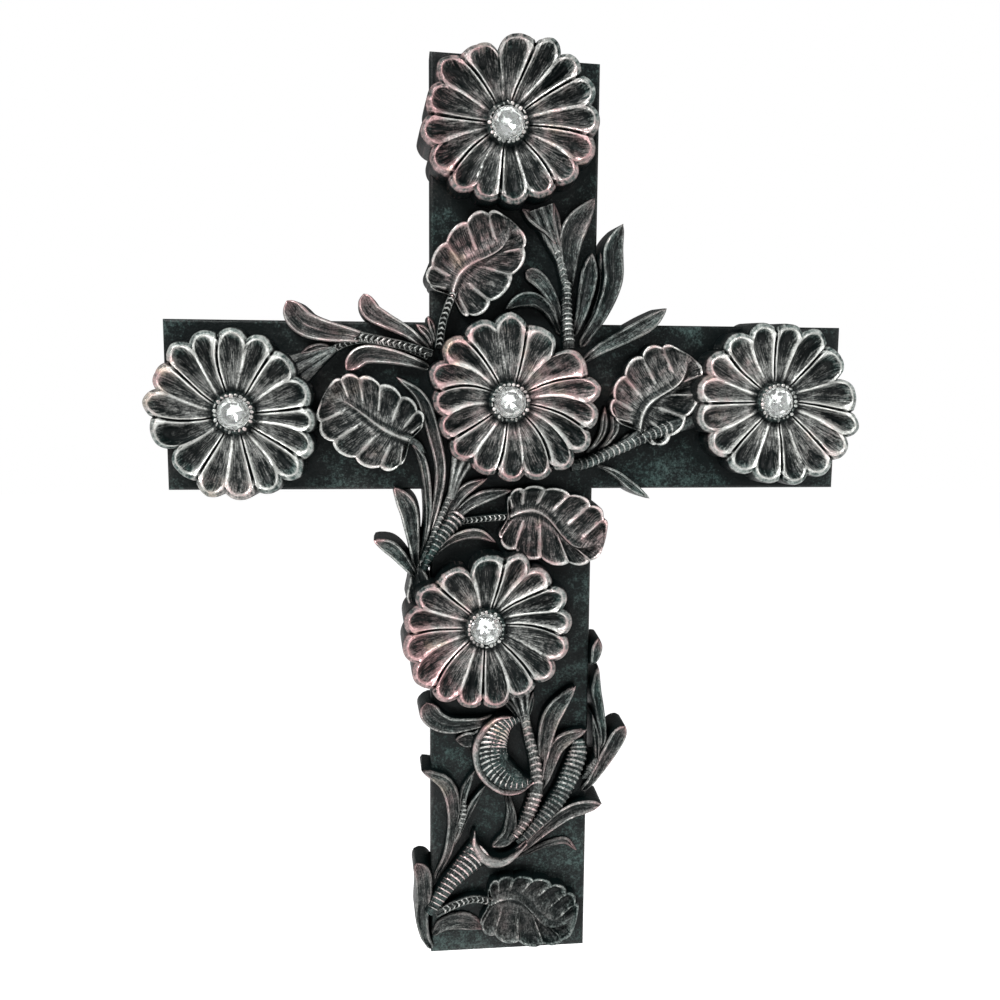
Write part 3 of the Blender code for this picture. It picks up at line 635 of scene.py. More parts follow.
def end_tree(tree, given, result, copies):
    """Turns the copies into one plain mesh in the finish that was given."""
    whole = put(tree, "GeometryNodeRealizeInstances", Geometry=copies)
    painted = put(tree, "GeometryNodeSetMaterial", Geometry=whole.outputs["Geometry"],
                  Material=given.outputs["Finish"])
    tree.links.new(painted.outputs["Geometry"], result.inputs["Geometry"])


def bead_tree():
    tree, given, result = new_tree("bead_rings", {**BEADS, "Finish": RELIEF_FINISH})
    seed = given.outputs["Seed"]
    vector = {"data_type": "FLOAT_VECTOR"}
    circle = put(tree, "GeometryNodeMeshCircle", Vertices=given.outputs["Beads"],
                 Radius=given.outputs["Ring radius"])
    bead = put(tree, "GeometryNodeMeshIcoSphere", Radius=given.outputs["Bead size"], Subdivisions=2)
    smoothed = put(tree, "GeometryNodeSetShadeSmooth", Geometry=bead.outputs["Mesh"])
    size = put(tree, "FunctionNodeRandomValue", vector, Min=(0.6, 0.5, 0.5), Max=(1.3, 1.3, 1.0), Seed=seed)
    slip = put(tree, "FunctionNodeRandomValue", vector, Min=(-BEAD_SLIP, -BEAD_SLIP, -BEAD_SINK),
               Max=(BEAD_SLIP, BEAD_SLIP, BEAD_LIFT), Seed=seed)
    placed = put(tree, "GeometryNodeSetPosition", Geometry=circle.outputs["Mesh"],
                 Offset=slip.outputs["Value"])
    ring = put(tree, "GeometryNodeInstanceOnPoints", Points=placed.outputs["Geometry"],
               Instance=smoothed.outputs["Geometry"], Scale=size.outputs["Value"])
    facing = put(tree, "GeometryNodeTransform", Geometry=ring.outputs["Instances"],
                 Rotation=(math.pi / 2, 0, 0))
    spin = put(tree, "FunctionNodeRandomValue", vector, Min=(0, 0, 0), Max=(0, math.tau, 0), Seed=seed)
    rings = put(tree, "GeometryNodeInstanceOnPoints", Points=given.outputs["Geometry"],
                Instance=facing.outputs["Geometry"], Rotation=spin.outputs["Value"])
    end_tree(tree, given, result, rings.outputs["Instances"])
    return tree


middles = [(place[0] * MM, -BEAD_HEIGHT * MM, place[1] * MM) for place, _ in FLOWERS.values()]
beads = grown("bead_rings", middles, [], bead_tree(), {**BEADS, "Finish": RELIEF_FINISH})
beads["dull"] = 0.45


# The stones: clear faceted glass, foiled behind, one glued into the cup of each flower. The crown's
# facets are clear and the foil is the mirrored pavilion, so the facets behind show through the table.
STONE_RADIUS = 6.1
STONE_TABLE = 0.68
STONE_TURNS = 8
GIRDLE_TOP = 20.8
GIRDLE = 0.6
CROWN_RISE = 2.2
PAVILION = 3.0
KITE_SPREAD, KITE_RISE = 0.86, 0.5
BACK_SPREAD, BACK_DROP = 0.78, 0.22


def make_stone(name, middle, first_bearing, glass, foil):
    bm = bmesh.new()
    step = math.tau / STONE_TURNS
    start = math.radians(first_bearing)

    def spot(radius, turn, height):
        a = start - turn * step
        return bm.verts.new(((middle[0] + radius * math.cos(a)) * MM, -height * MM,
                             (middle[1] + radius * math.sin(a)) * MM))

    turns, around = range(STONE_TURNS), 2 * STONE_TURNS
    girdle_foot = GIRDLE_TOP - GIRDLE
    table = [spot(STONE_RADIUS * STONE_TABLE, i, GIRDLE_TOP + CROWN_RISE) for i in turns]
    kite = [spot(STONE_RADIUS * KITE_SPREAD, i + 0.5, GIRDLE_TOP + CROWN_RISE * KITE_RISE) for i in turns]
    upper = [spot(STONE_RADIUS, i / 2, GIRDLE_TOP) for i in range(around)]
    lower = [spot(STONE_RADIUS, i / 2, girdle_foot) for i in range(around)]
    culet = spot(0.01, 0, girdle_foot - PAVILION)
    deep = [spot(STONE_RADIUS * BACK_SPREAD, i, girdle_foot - PAVILION * BACK_DROP) for i in turns]
    bm.faces.new(table)
    backs = []
    for i in turns:
        following = (i + 1) % STONE_TURNS
        here, between, beyond = 2 * i, 2 * i + 1, 2 * following
        bm.faces.new((table[i], table[following], kite[i]))
        bm.faces.new((table[following], upper[beyond], kite[i]))
        bm.faces.new((table[i], kite[i], upper[here]))
        bm.faces.new((kite[i], upper[between], upper[here]))
        bm.faces.new((kite[i], upper[beyond], upper[between]))
        bm.faces.new((upper[here], upper[between], lower[between], lower[here]))
        bm.faces.new((upper[between], upper[beyond], lower[beyond], lower[between]))
        backs.append(bm.faces.new((lower[here], lower[between], deep[i])))
        backs.append(bm.faces.new((lower[between], lower[beyond], deep[following])))
        backs.append(bm.faces.new((lower[between], deep[following], deep[i])))
        backs.append(bm.faces.new((deep[i], deep[following], culet)))
    bmesh.ops.recalc_face_normals(bm, faces=bm.faces)
    for face in backs:
        face.material_index = 1
    mesh = bpy.data.meshes.new(name)
    bm.to_mesh(mesh)
    bm.free()
    mesh.materials.append(glass)
    mesh.materials.append(foil)
    return shown(name, mesh)


crystal = Recipe(bpy.data.materials.new("clear_crystal"))
crystal_place = crystal.add("ShaderNodeTexCoord", {}, {}, "Object")
crystal.feed("Base Color", (0.97, 0.99, 0.98, 1))
crystal.feed("Transmission Weight", 1.0)
crystal.feed("IOR", 1.55)
crystal.feed("Roughness", crystal.noise(crystal_place, 700.0, 2.0).stepped(0.5, 0.9) * 0.05 + 0.01)
silvered = Recipe(bpy.data.materials.new("stone_foil"))
silvered_place = silvered.add("ShaderNodeTexCoord", {}, {}, "Object")
silvered.feed("Metallic", 0.8)
tarnish = silvered.noise(silvered_place, 420.0, 3.0).stepped(0.45, 0.8)
silvered.feed("Base Color", silvered.blended(tarnish, (0.97, 0.98, 0.97, 1), (0.74, 0.78, 0.76, 1)))
silvered.feed("Roughness", tarnish * 0.08 + 0.12)
for name, (middle, petals) in FLOWERS.items():
    stone = make_stone(f"stone_{name}", middle, petals[0][1], crystal.made, silvered.made)
    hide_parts(f"crystal_{name}")
    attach(stone, "root")


# The blades: pointed acanthus leaves that fill the ground between the flowers, cast with the board. Each
# has a raised cord along both edges, a channel with fine veins between them, and a tip that hooks over.
BLADE_ROOT, BLADE_DIP = 0.42, 0.2
POINTED = (0.68, 0.16)
BLUNT = (0.8, 0.5)
SPRAYS = {
    "upper": (
        (((21, 45), (20.5, 56), (22, 66), (30, 78)), 9.7, 5),
        (((26, 23), (33.5, 36), (37.5, 48), (37.5, 59.5), (41, 69)), 8.4, 5),
        (((23, 27), (26, 38.5), (28, 48.5), (29, 58)), 6.2, 5),
        (((18.5, 30), (14.5, 40.5), (9.5, 47.5), (4, 51)), 6, 5, BLUNT),
        (((18, 27.5), (13, 36), (8, 40), (2.5, 40), (-3.5, 36.5)), 5.6, 5),
        (((27, 17.5), (32.5, 22), (43, 27.5), (52, 32.5), (58.5, 38)), 6, 5),
        (((26.5, 27.5), (31.5, 39.5), (33.5, 49), (32.5, 58.5)), 2.6, 3.5),
    ),
    "left": (
        (((-54, 25), (-62, 26.5), (-71, 28), (-79, 31), (-84.5, 38.5)), 9.2, 5.5, BLUNT),
        (((-32, 21), (-40, 27.5), (-48.5, 32), (-54, 35.5), (-56.5, 41.5)), 6.8, 5.5, BLUNT),
        (((-32, 14.5), (-39.5, 17), (-48.5, 19), (-57, 19), (-63, 13.5)), 7, 5, BLUNT),
        (((-36, -61.5), (-30.5, -41), (-28, -24), (-31, -8.5), (-35.5, 3.5), (-44.5, 11)), 5, 5),
        (((-30.5, 21.5), (-32.5, 27), (-37, 31)), 3, 3.2),
        (((-29.5, 23), (-30.5, 28.5), (-32.5, 34)), 2.5, 2.8),
    ),
    "middle": (
        (((-37, -62.5), (-38.5, -49), (-40.5, -38.5), (-45.5, -30.5)), 7, 5),
        (((-36.5, -66.5), (-41, -60.5), (-46.5, -54.5), (-53.5, -51)), 5.5, 4.5),
        (((-36, -58.5), (-33, -45), (-33, -31.5), (-35, -20), (-39.5, -13)), 3.2, 5),
        (((-33, -58.5), (-26.5, -43), (-19.5, -32.5), (-10, -27)), 4.4, 5),
        (((-28, -51), (-21.5, -41), (-13, -35), (0, -31.5)), 4.8, 5),
        (((-32, -59.5), (-26.5, -53), (-20, -49.5), (-13, -49), (-6.5, -52.5)), 4.4, 5),
        (((-37.5, -60), (-36, -70), (-37, -80)), 10, 3),
    ),
    "right": (
        (((29, -18), (34.5, -9.5), (35.5, 0.5)), 3, 5),
        (((33.5, -17), (39.5, -8.5), (38.5, 1)), 3, 4),
        (((33, -22.5), (40, -25.5), (46.5, -30.5), (54, -35.5)), 3.6, 4),
        (((37, -18.5), (42.5, -14), (49.5, -8.5)), 3, 4),
    ),
    "lower": (
        (((12.5, -147.5), (13.5, -133.5), (16.5, -122), (25.5, -110.5)), 7.2, 6),
        (((12, -156), (15, -144), (19.5, -134), (30.5, -128.5)), 5.8, 6),
        (((-4.5, -123.5), (-14.5, -125), (-24.5, -125.5), (-31, -122), (-33.5, -116)), 8.6, 4.5, BLUNT),
        (((-9.5, -126.5), (-14.5, -131.5), (-22, -132)), 7, 3.5),
        (((32.5, -103), (34, -98), (35, -91.5)), 4.6, 4),
        (((35.5, -141.5), (37.5, -132.5), (36, -121.5), (34.5, -112.5), (35, -103)), 4, 4),
        (((30, -156), (33.5, -150), (38.5, -142), (42.5, -135), (46.5, -128)), 7, 4, BLUNT),
        (((-2, -183), (6, -177), (15.5, -169), (25, -163), (37.5, -160.5)), 6.8, 5, BLUNT),
        (((32.5, -154.5), (35, -144), (35, -133.5), (33, -123)), 2.6, 3.5),
    ),
    "foot": (
        (((-13, -183.5), (-6, -184.5), (0, -182), (5.5, -175.5)), 3.2, 6),
        (((-1, -155.5), (0.5, -164.5), (-1, -173), (-7.5, -177)), 5.6, 4.5),
        (((-30, -191), (-24.5, -176.5), (-22.5, -162), (-25.5, -150), (-35.5, -143.5)), 5.8, 5),
        (((-23.5, -174.5), (-20, -161), (-18.5, -153), (-14.5, -144)), 3, 5),
        (((-24, -180), (-19, -167.5), (-15, -158.5), (-10, -151)), 3, 5),
        (((-31.5, -221.5), (-34.2, -215), (-35.5, -206.5), (-34.6, -196), (-35, -188.5), (-37.6, -183)),
         6.8, 3.5, BLUNT),
        (((-31, -215.5), (-26.5, -210.5), (-19, -209.5), (-9.5, -213)), 7.5, 2),
        (((1, -185), (8.5, -181), (16, -178), (23, -177), (28, -181.5)), 3.4, 1.5),
    ),
    "sepals": (
        (((17.4, 58), (13.2, 64.6), (7.2, 69.7), (2.3, 73.7)), 4.6, 6.2),
        (((17.8, 57), (16, 66), (14.3, 76)), 3.2, 6),
        (((-68, 22), (-73, 22), (-80, 19.5)), 3, 5),
        (((5.5, -126), (7.5, -119), (9, -112)), 2.6, 6),
        (((5, -126.5), (0.5, -119), (-4, -114)), 2.8, 6),
    ),
}


def followed(points, shares):
    """Places and directions along a smooth curve through some points."""
    points = np.array(points, float)
    reach = shares * (len(points) - 1)
    i = np.minimum(reach.astype(int), len(points) - 2)
    s = (reach - i)[:, None]
    padded = np.vstack((2 * points[0] - points[1], points, 2 * points[-1] - points[-2]))
    start, end = padded[i + 1], padded[i + 2]
    leave, arrive = (end - padded[i]) / 2, (padded[i + 3] - start) / 2
    place = (start * (2 * s**3 - 3 * s**2 + 1) + leave * (s**3 - 2 * s**2 + s)
             + end * (3 * s**2 - 2 * s**3) + arrive * (s**3 - s**2))
    heading = ((start - end) * (6 * s**2 - 6 * s) + leave * (3 * s**2 - 4 * s + 1)
               + arrive * (3 * s**2 - 2 * s))
    return place, heading / np.linalg.norm(heading, axis=1)[:, None]


def make_sweep(name, points, half_width, height, foot, finish, stations=56, across=27):
    """A solid that follows a curve. half_width(shares) and height(shares, across, half) are in
    millimetres, and its walls widen a little on their way down to the wall."""
    shares = np.linspace(0, 1, stations)
    place, heading = followed(points, shares)
    half = half_width(shares)
    side = np.stack((heading[:, 1], -heading[:, 0]), axis=1)
    a = np.sin(np.linspace(-1, 1, across) * math.pi / 2 * 0.94) / math.sin(math.pi / 2 * 0.94)
    high = BOARD_FACE + height(shares[:, None], a[None, :], half[:, None])
    flat = place[:, None, :] + side[:, None, :] * (a * half[:, None])[:, :, None]
    top = np.stack((flat[..., 0], high, flat[..., 1]), axis=2)
    walls = []
    for edge, sign in ((0, -1), (-1, 1)):
        corner = top[:, edge]
        steps = []
        for share, out in ((0.06, 0.1), (0.2, 0.2), (0.45, 0.35), (0.72, 0.52), (1.0, 0.7)):
            moved = corner.copy()
            moved[:, 0] += side[:, 0] * sign * out
            moved[:, 2] += side[:, 1] * sign * out
            moved[:, 1] = corner[:, 1] + (foot - corner[:, 1]) * share
            steps.append(moved)
        walls.append(steps)
    ring = walls[0][::-1] + [top[:, k] for k in range(across)] + walls[1]
    rings = np.stack(ring, axis=1)
    length = np.concatenate(([0], np.cumsum(np.linalg.norm(np.diff(place, axis=0), axis=1))))
    column = np.concatenate(([-1.5, -1.4, -1.3, -1.2, -1.1], a, [1.1, 1.2, 1.3, 1.4, 1.5]))
    grain = np.stack(np.broadcast_arrays(column[None, :] * half[:, None], length[:, None]), axis=2)
    return cast(name, rings, grain, finish)


def blade_shape(width, lift, outline, seed):
    rng = np.random.default_rng(seed)
    lean = rng.choice((-1, 1)) * rng.uniform(0.1, 0.26)
    veins = max(1, round(width / 2.4))
    widest, blunt = outline

    def half_width(s):
        rising = BLADE_ROOT + (1 - BLADE_ROOT) * np.sin(math.pi / 2 * np.minimum(s / widest, 1)) ** 1.5
        past = np.clip((s - widest) / (1 - widest), 0, 1)
        falling = blunt + (1 - blunt) * np.cos(math.pi / 2 * past)
        end = 0.04 + 0.1 * blunt
        tip = np.sqrt(np.clip(1 - np.clip((s - 1 + end) / end, 0, 1) ** 2, 0.02, 1))
        root = np.sqrt(np.clip(1 - np.clip(1 - s / 0.05, 0, 1) ** 2, 0.04, 1))
        return width / 2 * np.where(s < widest, rising, falling) * tip * root

    def height(s, a, half):
        top = lift * (1 - BLADE_DIP * s**3) * (1 + lean * a) * (0.3 + 0.7 * smooth(s, 0, 0.24))
        from_edge = (1 - np.abs(a)) * half
        rounding = 0.9 * np.clip(1 - from_edge / 0.8, 0, 1) ** 2
        inner = np.clip((from_edge - 0.8) / np.maximum(half - 0.8, 0.3), 0, 1)
        depth = np.minimum(0.48 * lift, 0.7 * half) * (1 - 0.35 * smooth(s, 0.8, 1))
        bowl = depth * np.sin(inner * math.pi / 2) ** 0.9
        fine = 0.09 * np.cos(a * math.pi * veins + 2.5 * s) ** 4 * smooth(inner, 0.15, 0.6)
        ridge = 0.6 * np.exp(-((a * half) / 0.5) ** 2) * smooth(half, 1.6, 2.8) * smooth(1 - s, 0.05, 0.3)
        return top - rounding - bowl + fine + ridge + 0.08 * waves(seed, s * 40, a * half, 6)

    return half_width, height


# How much rose the cloth left on each spray, and how dull it is
SPRAY_TONES = {
    "upper": (0.24, 0.5), "left": (0.38, 0.15), "middle": (0.34, 0.25), "right": (0.2, 0.25),
    "lower": (0.34, 0.4), "foot": (0.3, 0.5), "sepals": (0.36, 0.4),
}
BLADE_FINISH = antiqued("blade_finish", 0.07, 0.75, 0.0, 0.52)
foot = 0.25
for group, blades in SPRAYS.items():
    for number, (points, width, lift, *outline) in enumerate(blades, 1):
        seed = int(width * 100) + number
        shape = blade_shape(width, lift, outline[0] if outline else POINTED, seed)
        blade = make_sweep(f"blade_{group}_{number}", points, *shape, foot, BLADE_FINISH)
        blade["rosy"], blade["dull"] = SPRAY_TONES[group]
        blade["tip"] = points[-1]
        foot += 0.01


# The stems: ribbed stems, braided stalks, fluted calyxes that hold the flowers, open horns and one broad
# ribbed curl, all cast with the board.
STEMS = {
    "top_flower_stem": (((21, 22.5), (20, 33), (19.5, 46)), (4.6, 4.2, 3.6), 5.5, "round"),
    "top_flower_calyx": (((19.5, 44), (17, 54.5), (13.5, 63), (9.5, 74)), (3.2, 3.6, 6, 11), 6, "fluted"),
    "left_flower_stem": (
        ((-32.5, 19), (-43, 22.5), (-54, 24.5), (-61.5, 24), (-69, 20.5)), (3, 2.8), 4, "railed",
    ),
    "left_flower_calyx": (((-67, 21.5), (-73.5, 18), (-82, 13)), (2.6, 7, 13), 5.5, "fluted"),
    "centre_flower_stem": (((-34.5, -59.5), (-29, -45), (-23, -31)), (3.2, 3), 5, "round"),
    "centre_flower_calyx": (((-24, -35), (-22, -27.5), (-19, -19)), (3, 5, 10), 6, "fluted"),
    "right_flower_stem": (
        ((22.5, -22.5), (30.5, -20.5), (44, -14.5), (57, -9), (76, -3)), (5, 4.6, 4.6, 7), 5.5, "round",
    ),
    "lower_flower_stem": (
        ((0.5, -174), (5, -168), (8, -162), (10.5, -153), (10, -142), (7.5, -132), (5.5, -123)),
        (3, 5, 6, 5, 4), 6, "round",
    ),
    "lower_flower_calyx": (((6.2, -127), (4.5, -119), (2.5, -109)), (3.6, 6, 12), 6.5, "fluted"),
    "middle_horn": (
        ((-34.5, -62.5), (-30, -53), (-25.5, -47), (-21.5, -42)), (2.6, 4.6, 5.8, 6.6), 7, "round",
    ),
    "middle_leaf_stalk": (((-22.5, -44), (-13, -43), (0, -42)), (2.8, 2.6), 5, "railed"),
    "upper_leaf_stalk": (((-28.5, 22), (-27, 32), (-23, 43)), (3.4, 3), 6, "railed"),
    "left_blade_neck": (((-31, 20), (-41, 22.6), (-50, 24.4), (-58, 25.8)), (3, 3.6, 4), 4.8, "railed"),
    "left_leaf_stalk": (((-34.5, -18), (-37, -14), (-42, -11)), (3.2, 3.4), 5, "round"),
    "lower_leaf_stalk": (((-30, -204.5), (-22, -201), (-14, -199), (-6, -201)), (3.4, 3.2), 4.5, "railed"),
    "right_leaf_stalk": (((40, -15.5), (45, -12.5), (50, -8)), (3, 3), 5, "round"),
    "lower_curl": (
        ((9.2, -148.8), (3.8, -149.2), (-1.5, -147.2), (-6.4, -142), (-7.7, -134.6), (-5.9, -128.9),
         (-2.3, -124.7), (3.3, -122.6)), (1.2, 8.2, 11.8, 13, 13, 10.8, 6.9, 2.5), 7.5, "round",
    ),
    "right_horn": (
        ((3, -175), (8.5, -170), (14.5, -163.5), (20, -156), (24, -147.5), (27, -139), (27, -132)),
        (3, 4.6, 6.2, 7.4, 8, 7.6, 5), 6.5, "round",
    ),
    "foot_horn": (
        ((-32.5, -204), (-25.5, -193), (-19, -185.5), (-13.5, -180), (-11.6, -178.4)),
        (4.6, 6.6, 8.8, 11.4, 12.4), 6, "round",
    ),
    "foot_horn_lip": (
        ((-14.4, -169.5), (-14.4, -174), (-11, -180), (-6.4, -182.6), (-1.5, -182), (3, -178.5),
         (6.5, -174.5)), (0.9, 2.8, 4.6, 4.4, 3.4, 2.2, 0.8), 7.6, "round",
    ),
    "foot_blade_neck": (((-20.6, -169), (-18.9, -162.5), (-18.6, -155.5)), (2, 3.4, 2), 5.2, "round"),
    "side_blade_neck": (((29.6, -149.5), (32.6, -145), (35, -140.8)), (2, 3.6, 2), 4.6, "round"),
    "curl_border": (
        ((3.3, -122.1), (-4.8, -122.4), (-11.1, -127.7), (-13.9, -135.3), (-11.9, -145), (-4.5, -152.2),
         (3, -153), (9, -149)), (1, 2.4, 3.2, 3.6, 3.6, 3.2, 2.4, 1), 7, "round",
    ),
    "curl_midline": (
        ((-1.5, -124.5), (-6.4, -128.8), (-8.6, -134.8), (-7.4, -142.4), (-1.8, -148.2)),
        (0.5, 0.8, 0.8, 0.8, 0.5), 8, "round",
    ),
}


def stem_height(lift, kind):
    def rounded(s, a, half):
        dome = 0.5 + 0.5 * np.sqrt(np.clip(1 - a**2, 0, 1))
        return lift * dome * (0.8 + 0.2 * smooth(s, 0, 0.12)) + 0.06 * waves(7, s * 50, a * half, 4)

    def fluted(s, a, half):
        shell = 0.6 + 0.4 * np.sqrt(np.clip(1 - a**2, 0, 1))
        flute = 0.16 * (np.abs(np.cos(a * math.pi * 1.5)) - 0.6) * smooth(half, 1.2, 3.5)
        return lift * (shell + flute - 0.06) + 0.08 * waves(9, s * 30, a * half, 4)

    def railed(s, a, half):
        rail = np.exp(-((np.abs(a) - 0.8) / 0.17) ** 2)
        return lift * (0.7 + 0.2 * rail) + 0 * s

    return {"round": rounded, "fluted": fluted, "railed": railed}[kind]


# Cast into the stems: crescents across the round ones, and chevrons between the rails of the braided
# ones. A row: the stem, the part of it that they cover, and their distance from one to the next.
CRESCENTS = {
    "top_flower_stem": (0.12, 1.0, 1.8), "right_flower_stem": (0.1, 0.8, 2.1),
    "lower_flower_stem": (0.05, 0.46, 2.0), "middle_horn": (0.06, 1.0, 1.9), "foot_horn": (0.05, 0.86, 2.1),
    "right_horn": (0.08, 0.95, 2.0), "lower_curl": (0.05, 0.97, 1.7), "foot_blade_neck": (0.1, 0.9, 1.7),
    "side_blade_neck": (0.1, 0.9, 1.7),
}
CHEVRONS = {
    "left_flower_stem": (0.0, 1.0, 1.9), "middle_leaf_stalk": (0.0, 0.9, 1.8),
    "upper_leaf_stalk": (0.0, 0.9, 1.8), "lower_leaf_stalk": (0.1, 0.9, 2.0),
    "top_flower_calyx": (0.0, 0.4, 2.0), "centre_flower_stem": (0.1, 0.9, 1.9),
    "lower_flower_stem": (0.52, 1.0, 2.6), "left_blade_neck": (0.1, 0.9, 2.0),
}
CRESCENT = {"Rib size": 0.16, "Bow": 0.45, "Facets": 9}
CHEVRON = {"Rib size": 0.36, "Bow": 1.3, "Facets": 5}
RIB_THICKNESS = 0.38
CRESCENT_WIDTH, CHEVRON_WIDTH = 0.93, 0.82
# How high up a stem a rib starts and how far it rises, as shares of the stem's height
ROUND_SEAT, FLAT_SEAT = (0.5, 0.47), (0.62, 0.3)


def rib_tree():
    """Ribs that stand across a stem at even steps along it. Its points carry half its width and its
    rise, and these size a rib."""
    labels = {"Spacing": 2 * MM, **CRESCENT, "Finish": RELIEF_FINISH}
    tree, given, result = new_tree("stem_ribs", labels)
    line = put(tree, "GeometryNodeMeshToCurve", Mesh=given.outputs["Geometry"])
    steps = put(tree, "GeometryNodeCurveToPoints", {"mode": "LENGTH"}, Curve=line.outputs["Curve"],
                Length=given.outputs["Spacing"])
    ahead = put(tree, "FunctionNodeAlignRotationToVector", {"axis": "X"}, Vector=steps.outputs["Tangent"])
    facing = put(tree, "FunctionNodeAlignRotationToVector", {"axis": "Z", "pivot_axis": "X"},
                 Rotation=ahead.outputs["Rotation"], Vector=(0, -1, 0))
    half, rise = (put(tree, "GeometryNodeInputNamedAttribute", {"data_type": "FLOAT"}, Name=name)
                  for name in ("half", "rise"))
    size = put(tree, "ShaderNodeCombineXYZ", X=half.outputs["Attribute"], Y=half.outputs["Attribute"],
               Z=rise.outputs["Attribute"])
    arc = put(tree, "GeometryNodeCurveArc", {"mode": "RADIUS"}, Resolution=given.outputs["Facets"],
              Radius=1.0, Start_Angle=0.0, Sweep_Angle=math.pi)
    position = put(tree, "GeometryNodeInputPosition")
    flat = put(tree, "ShaderNodeSeparateXYZ", Vector=position.outputs["Position"])
    bowed = put(tree, "ShaderNodeMath", {"operation": "MULTIPLY"})
    tree.links.new(flat.outputs["Y"], bowed.inputs[0])
    tree.links.new(given.outputs["Bow"], bowed.inputs[1])
    upright = put(tree, "ShaderNodeCombineXYZ", X=bowed.outputs["Value"], Y=flat.outputs["X"],
                  Z=flat.outputs["Y"])
    stood = put(tree, "GeometryNodeSetPosition", Geometry=arc.outputs["Curve"],
                Position=upright.outputs["Vector"])
    bead = put(tree, "GeometryNodeCurvePrimitiveCircle", {"mode": "RADIUS"}, Resolution=6,
               Radius=given.outputs["Rib size"])
    rib = put(tree, "GeometryNodeCurveToMesh", Curve=stood.outputs["Geometry"],
              Profile_Curve=bead.outputs["Curve"], Fill_Caps=True)
    soft = put(tree, "GeometryNodeSetShadeSmooth", Geometry=rib.outputs["Mesh"])
    ribs = put(tree, "GeometryNodeInstanceOnPoints", Points=steps.outputs["Points"],
               Instance=soft.outputs["Geometry"], Rotation=facing.outputs["Rotation"],
               Scale=size.outputs["Vector"])
    end_tree(tree, given, result, ribs.outputs["Instances"])
    return tree


STEM_ROSE = {
    "curl_border": 0.6, "lower_curl": 0.45, "foot_horn": 0.36, "foot_horn_lip": 0.4, "middle_horn": 0.34,
    "lower_flower_stem": 0.34,
}
STEM_DULL = {
    "foot_horn_lip": 0.1, "curl_border": 0.1, "lower_curl": 0.9, "lower_flower_stem": 0.6,
    "right_horn": 1.0, "foot_horn": 1.0, "middle_horn": 1.0, "right_flower_stem": 0.7,
    "centre_flower_calyx": 0.2, "lower_flower_calyx": 0.3,
}
RIB_DULL = {"side_blade_neck": 0.65, "right_horn": 0.56, "foot_horn": 0.44, "lower_curl": 0.38}
PLAIN_ROSE, PLAIN_DULL = 0.22, 0.5
RIB_POINTS = 60
ribs_across = rib_tree()
for name, (points, widths, lift, kind) in STEMS.items():
    def half_width(s, widths=widths):
        return np.interp(s * (len(widths) - 1), range(len(widths)), widths) / 2

    stem = make_sweep(name, points, half_width, stem_height(lift, kind), foot, BLADE_FINISH)
    stem["rosy"] = STEM_ROSE.get(name, PLAIN_ROSE)
    stem["dull"] = STEM_DULL.get(name, PLAIN_DULL)
    foot += 0.01
    for rows, form in ((CRESCENTS, CRESCENT), (CHEVRONS, CHEVRON)):
        if name not in rows:
            continue
        begin, end, spacing = rows[name]
        shares = np.linspace(begin, end, RIB_POINTS)
        place, _ = followed(points, shares)
        base, rise = ROUND_SEAT if kind == "round" else FLAT_SEAT
        route = [(x * MM, -(BOARD_FACE + lift * base) * MM, z * MM) for x, z in place]
        lines = [(i, i + 1) for i in range(len(route) - 1)]
        narrow = CRESCENT_WIDTH if form is CRESCENT else CHEVRON_WIDTH
        rises = np.full(RIB_POINTS, lift * rise * MM)
        sizes = (("half", half_width(shares) * MM * narrow), ("rise", rises))
        given = {**form, "Spacing": spacing * MM, "Finish": BLADE_FINISH}
        if form is CRESCENT:
            given["Rib size"] = RIB_THICKNESS * spacing / (max(widths) / 2)
        ribs = grown(f"{name}_ribs", route, lines, ribs_across, given, sizes)
        ribs["rosy"] = STEM_ROSE.get(name, PLAIN_ROSE)
        ribs["dull"] = RIB_DULL.get(name, PLAIN_DULL)


# The round leaves: five broad leaves like small fans, cast with the board. Each has a cord for a midrib
# that swings like an S, and scooped lobes between thin veins, closed by a raised scalloped rim.
ROUND_LEAVES = {
    "upper_leaf": ((-23.5, 41), (-1.5, 68.5), 15.4, 14, 0.085, 6, 0.38, (6, 5), 0.4),
    "left_leaf": ((-39.5, -12.5), (-71, 4.5), 17, 14.5, 0.03, 6, 0.28, (6, 7), 0.25),
    "middle_leaf": ((-2, -42.5), (36, -51.5), 15.5, 14, 0.13, 6, 0.28, (7, 6), 0.42),
    "lower_leaf": ((-8.5, -201.5), (27.5, -209.5), 15, 14.5, 0.13, 5.5, 0.28, (8, 6), 0.2),
    "right_leaf": ((49, -9), (67.5, 20), 18.5, 13.5, 0.085, 6, 0.28, (6, 6), 0.25),
}
LEAF_STEPS = 150
LEAF_SCALLOP = 0.12
LEAF_FULLNESS = 0.62
LEAF_RINGS = np.concatenate(
    (np.linspace(0, 0.16, 8), np.linspace(0.19, 0.76, 18), np.linspace(0.79, 1.0, 14))
)
VEIN_RISE = 0.7
PIT_DEPTH = 2.0
LEAF_RIM_RISE = 0.35
MIDRIB_RISE, MIDRIB_GROOVE = 1.35, 0.6


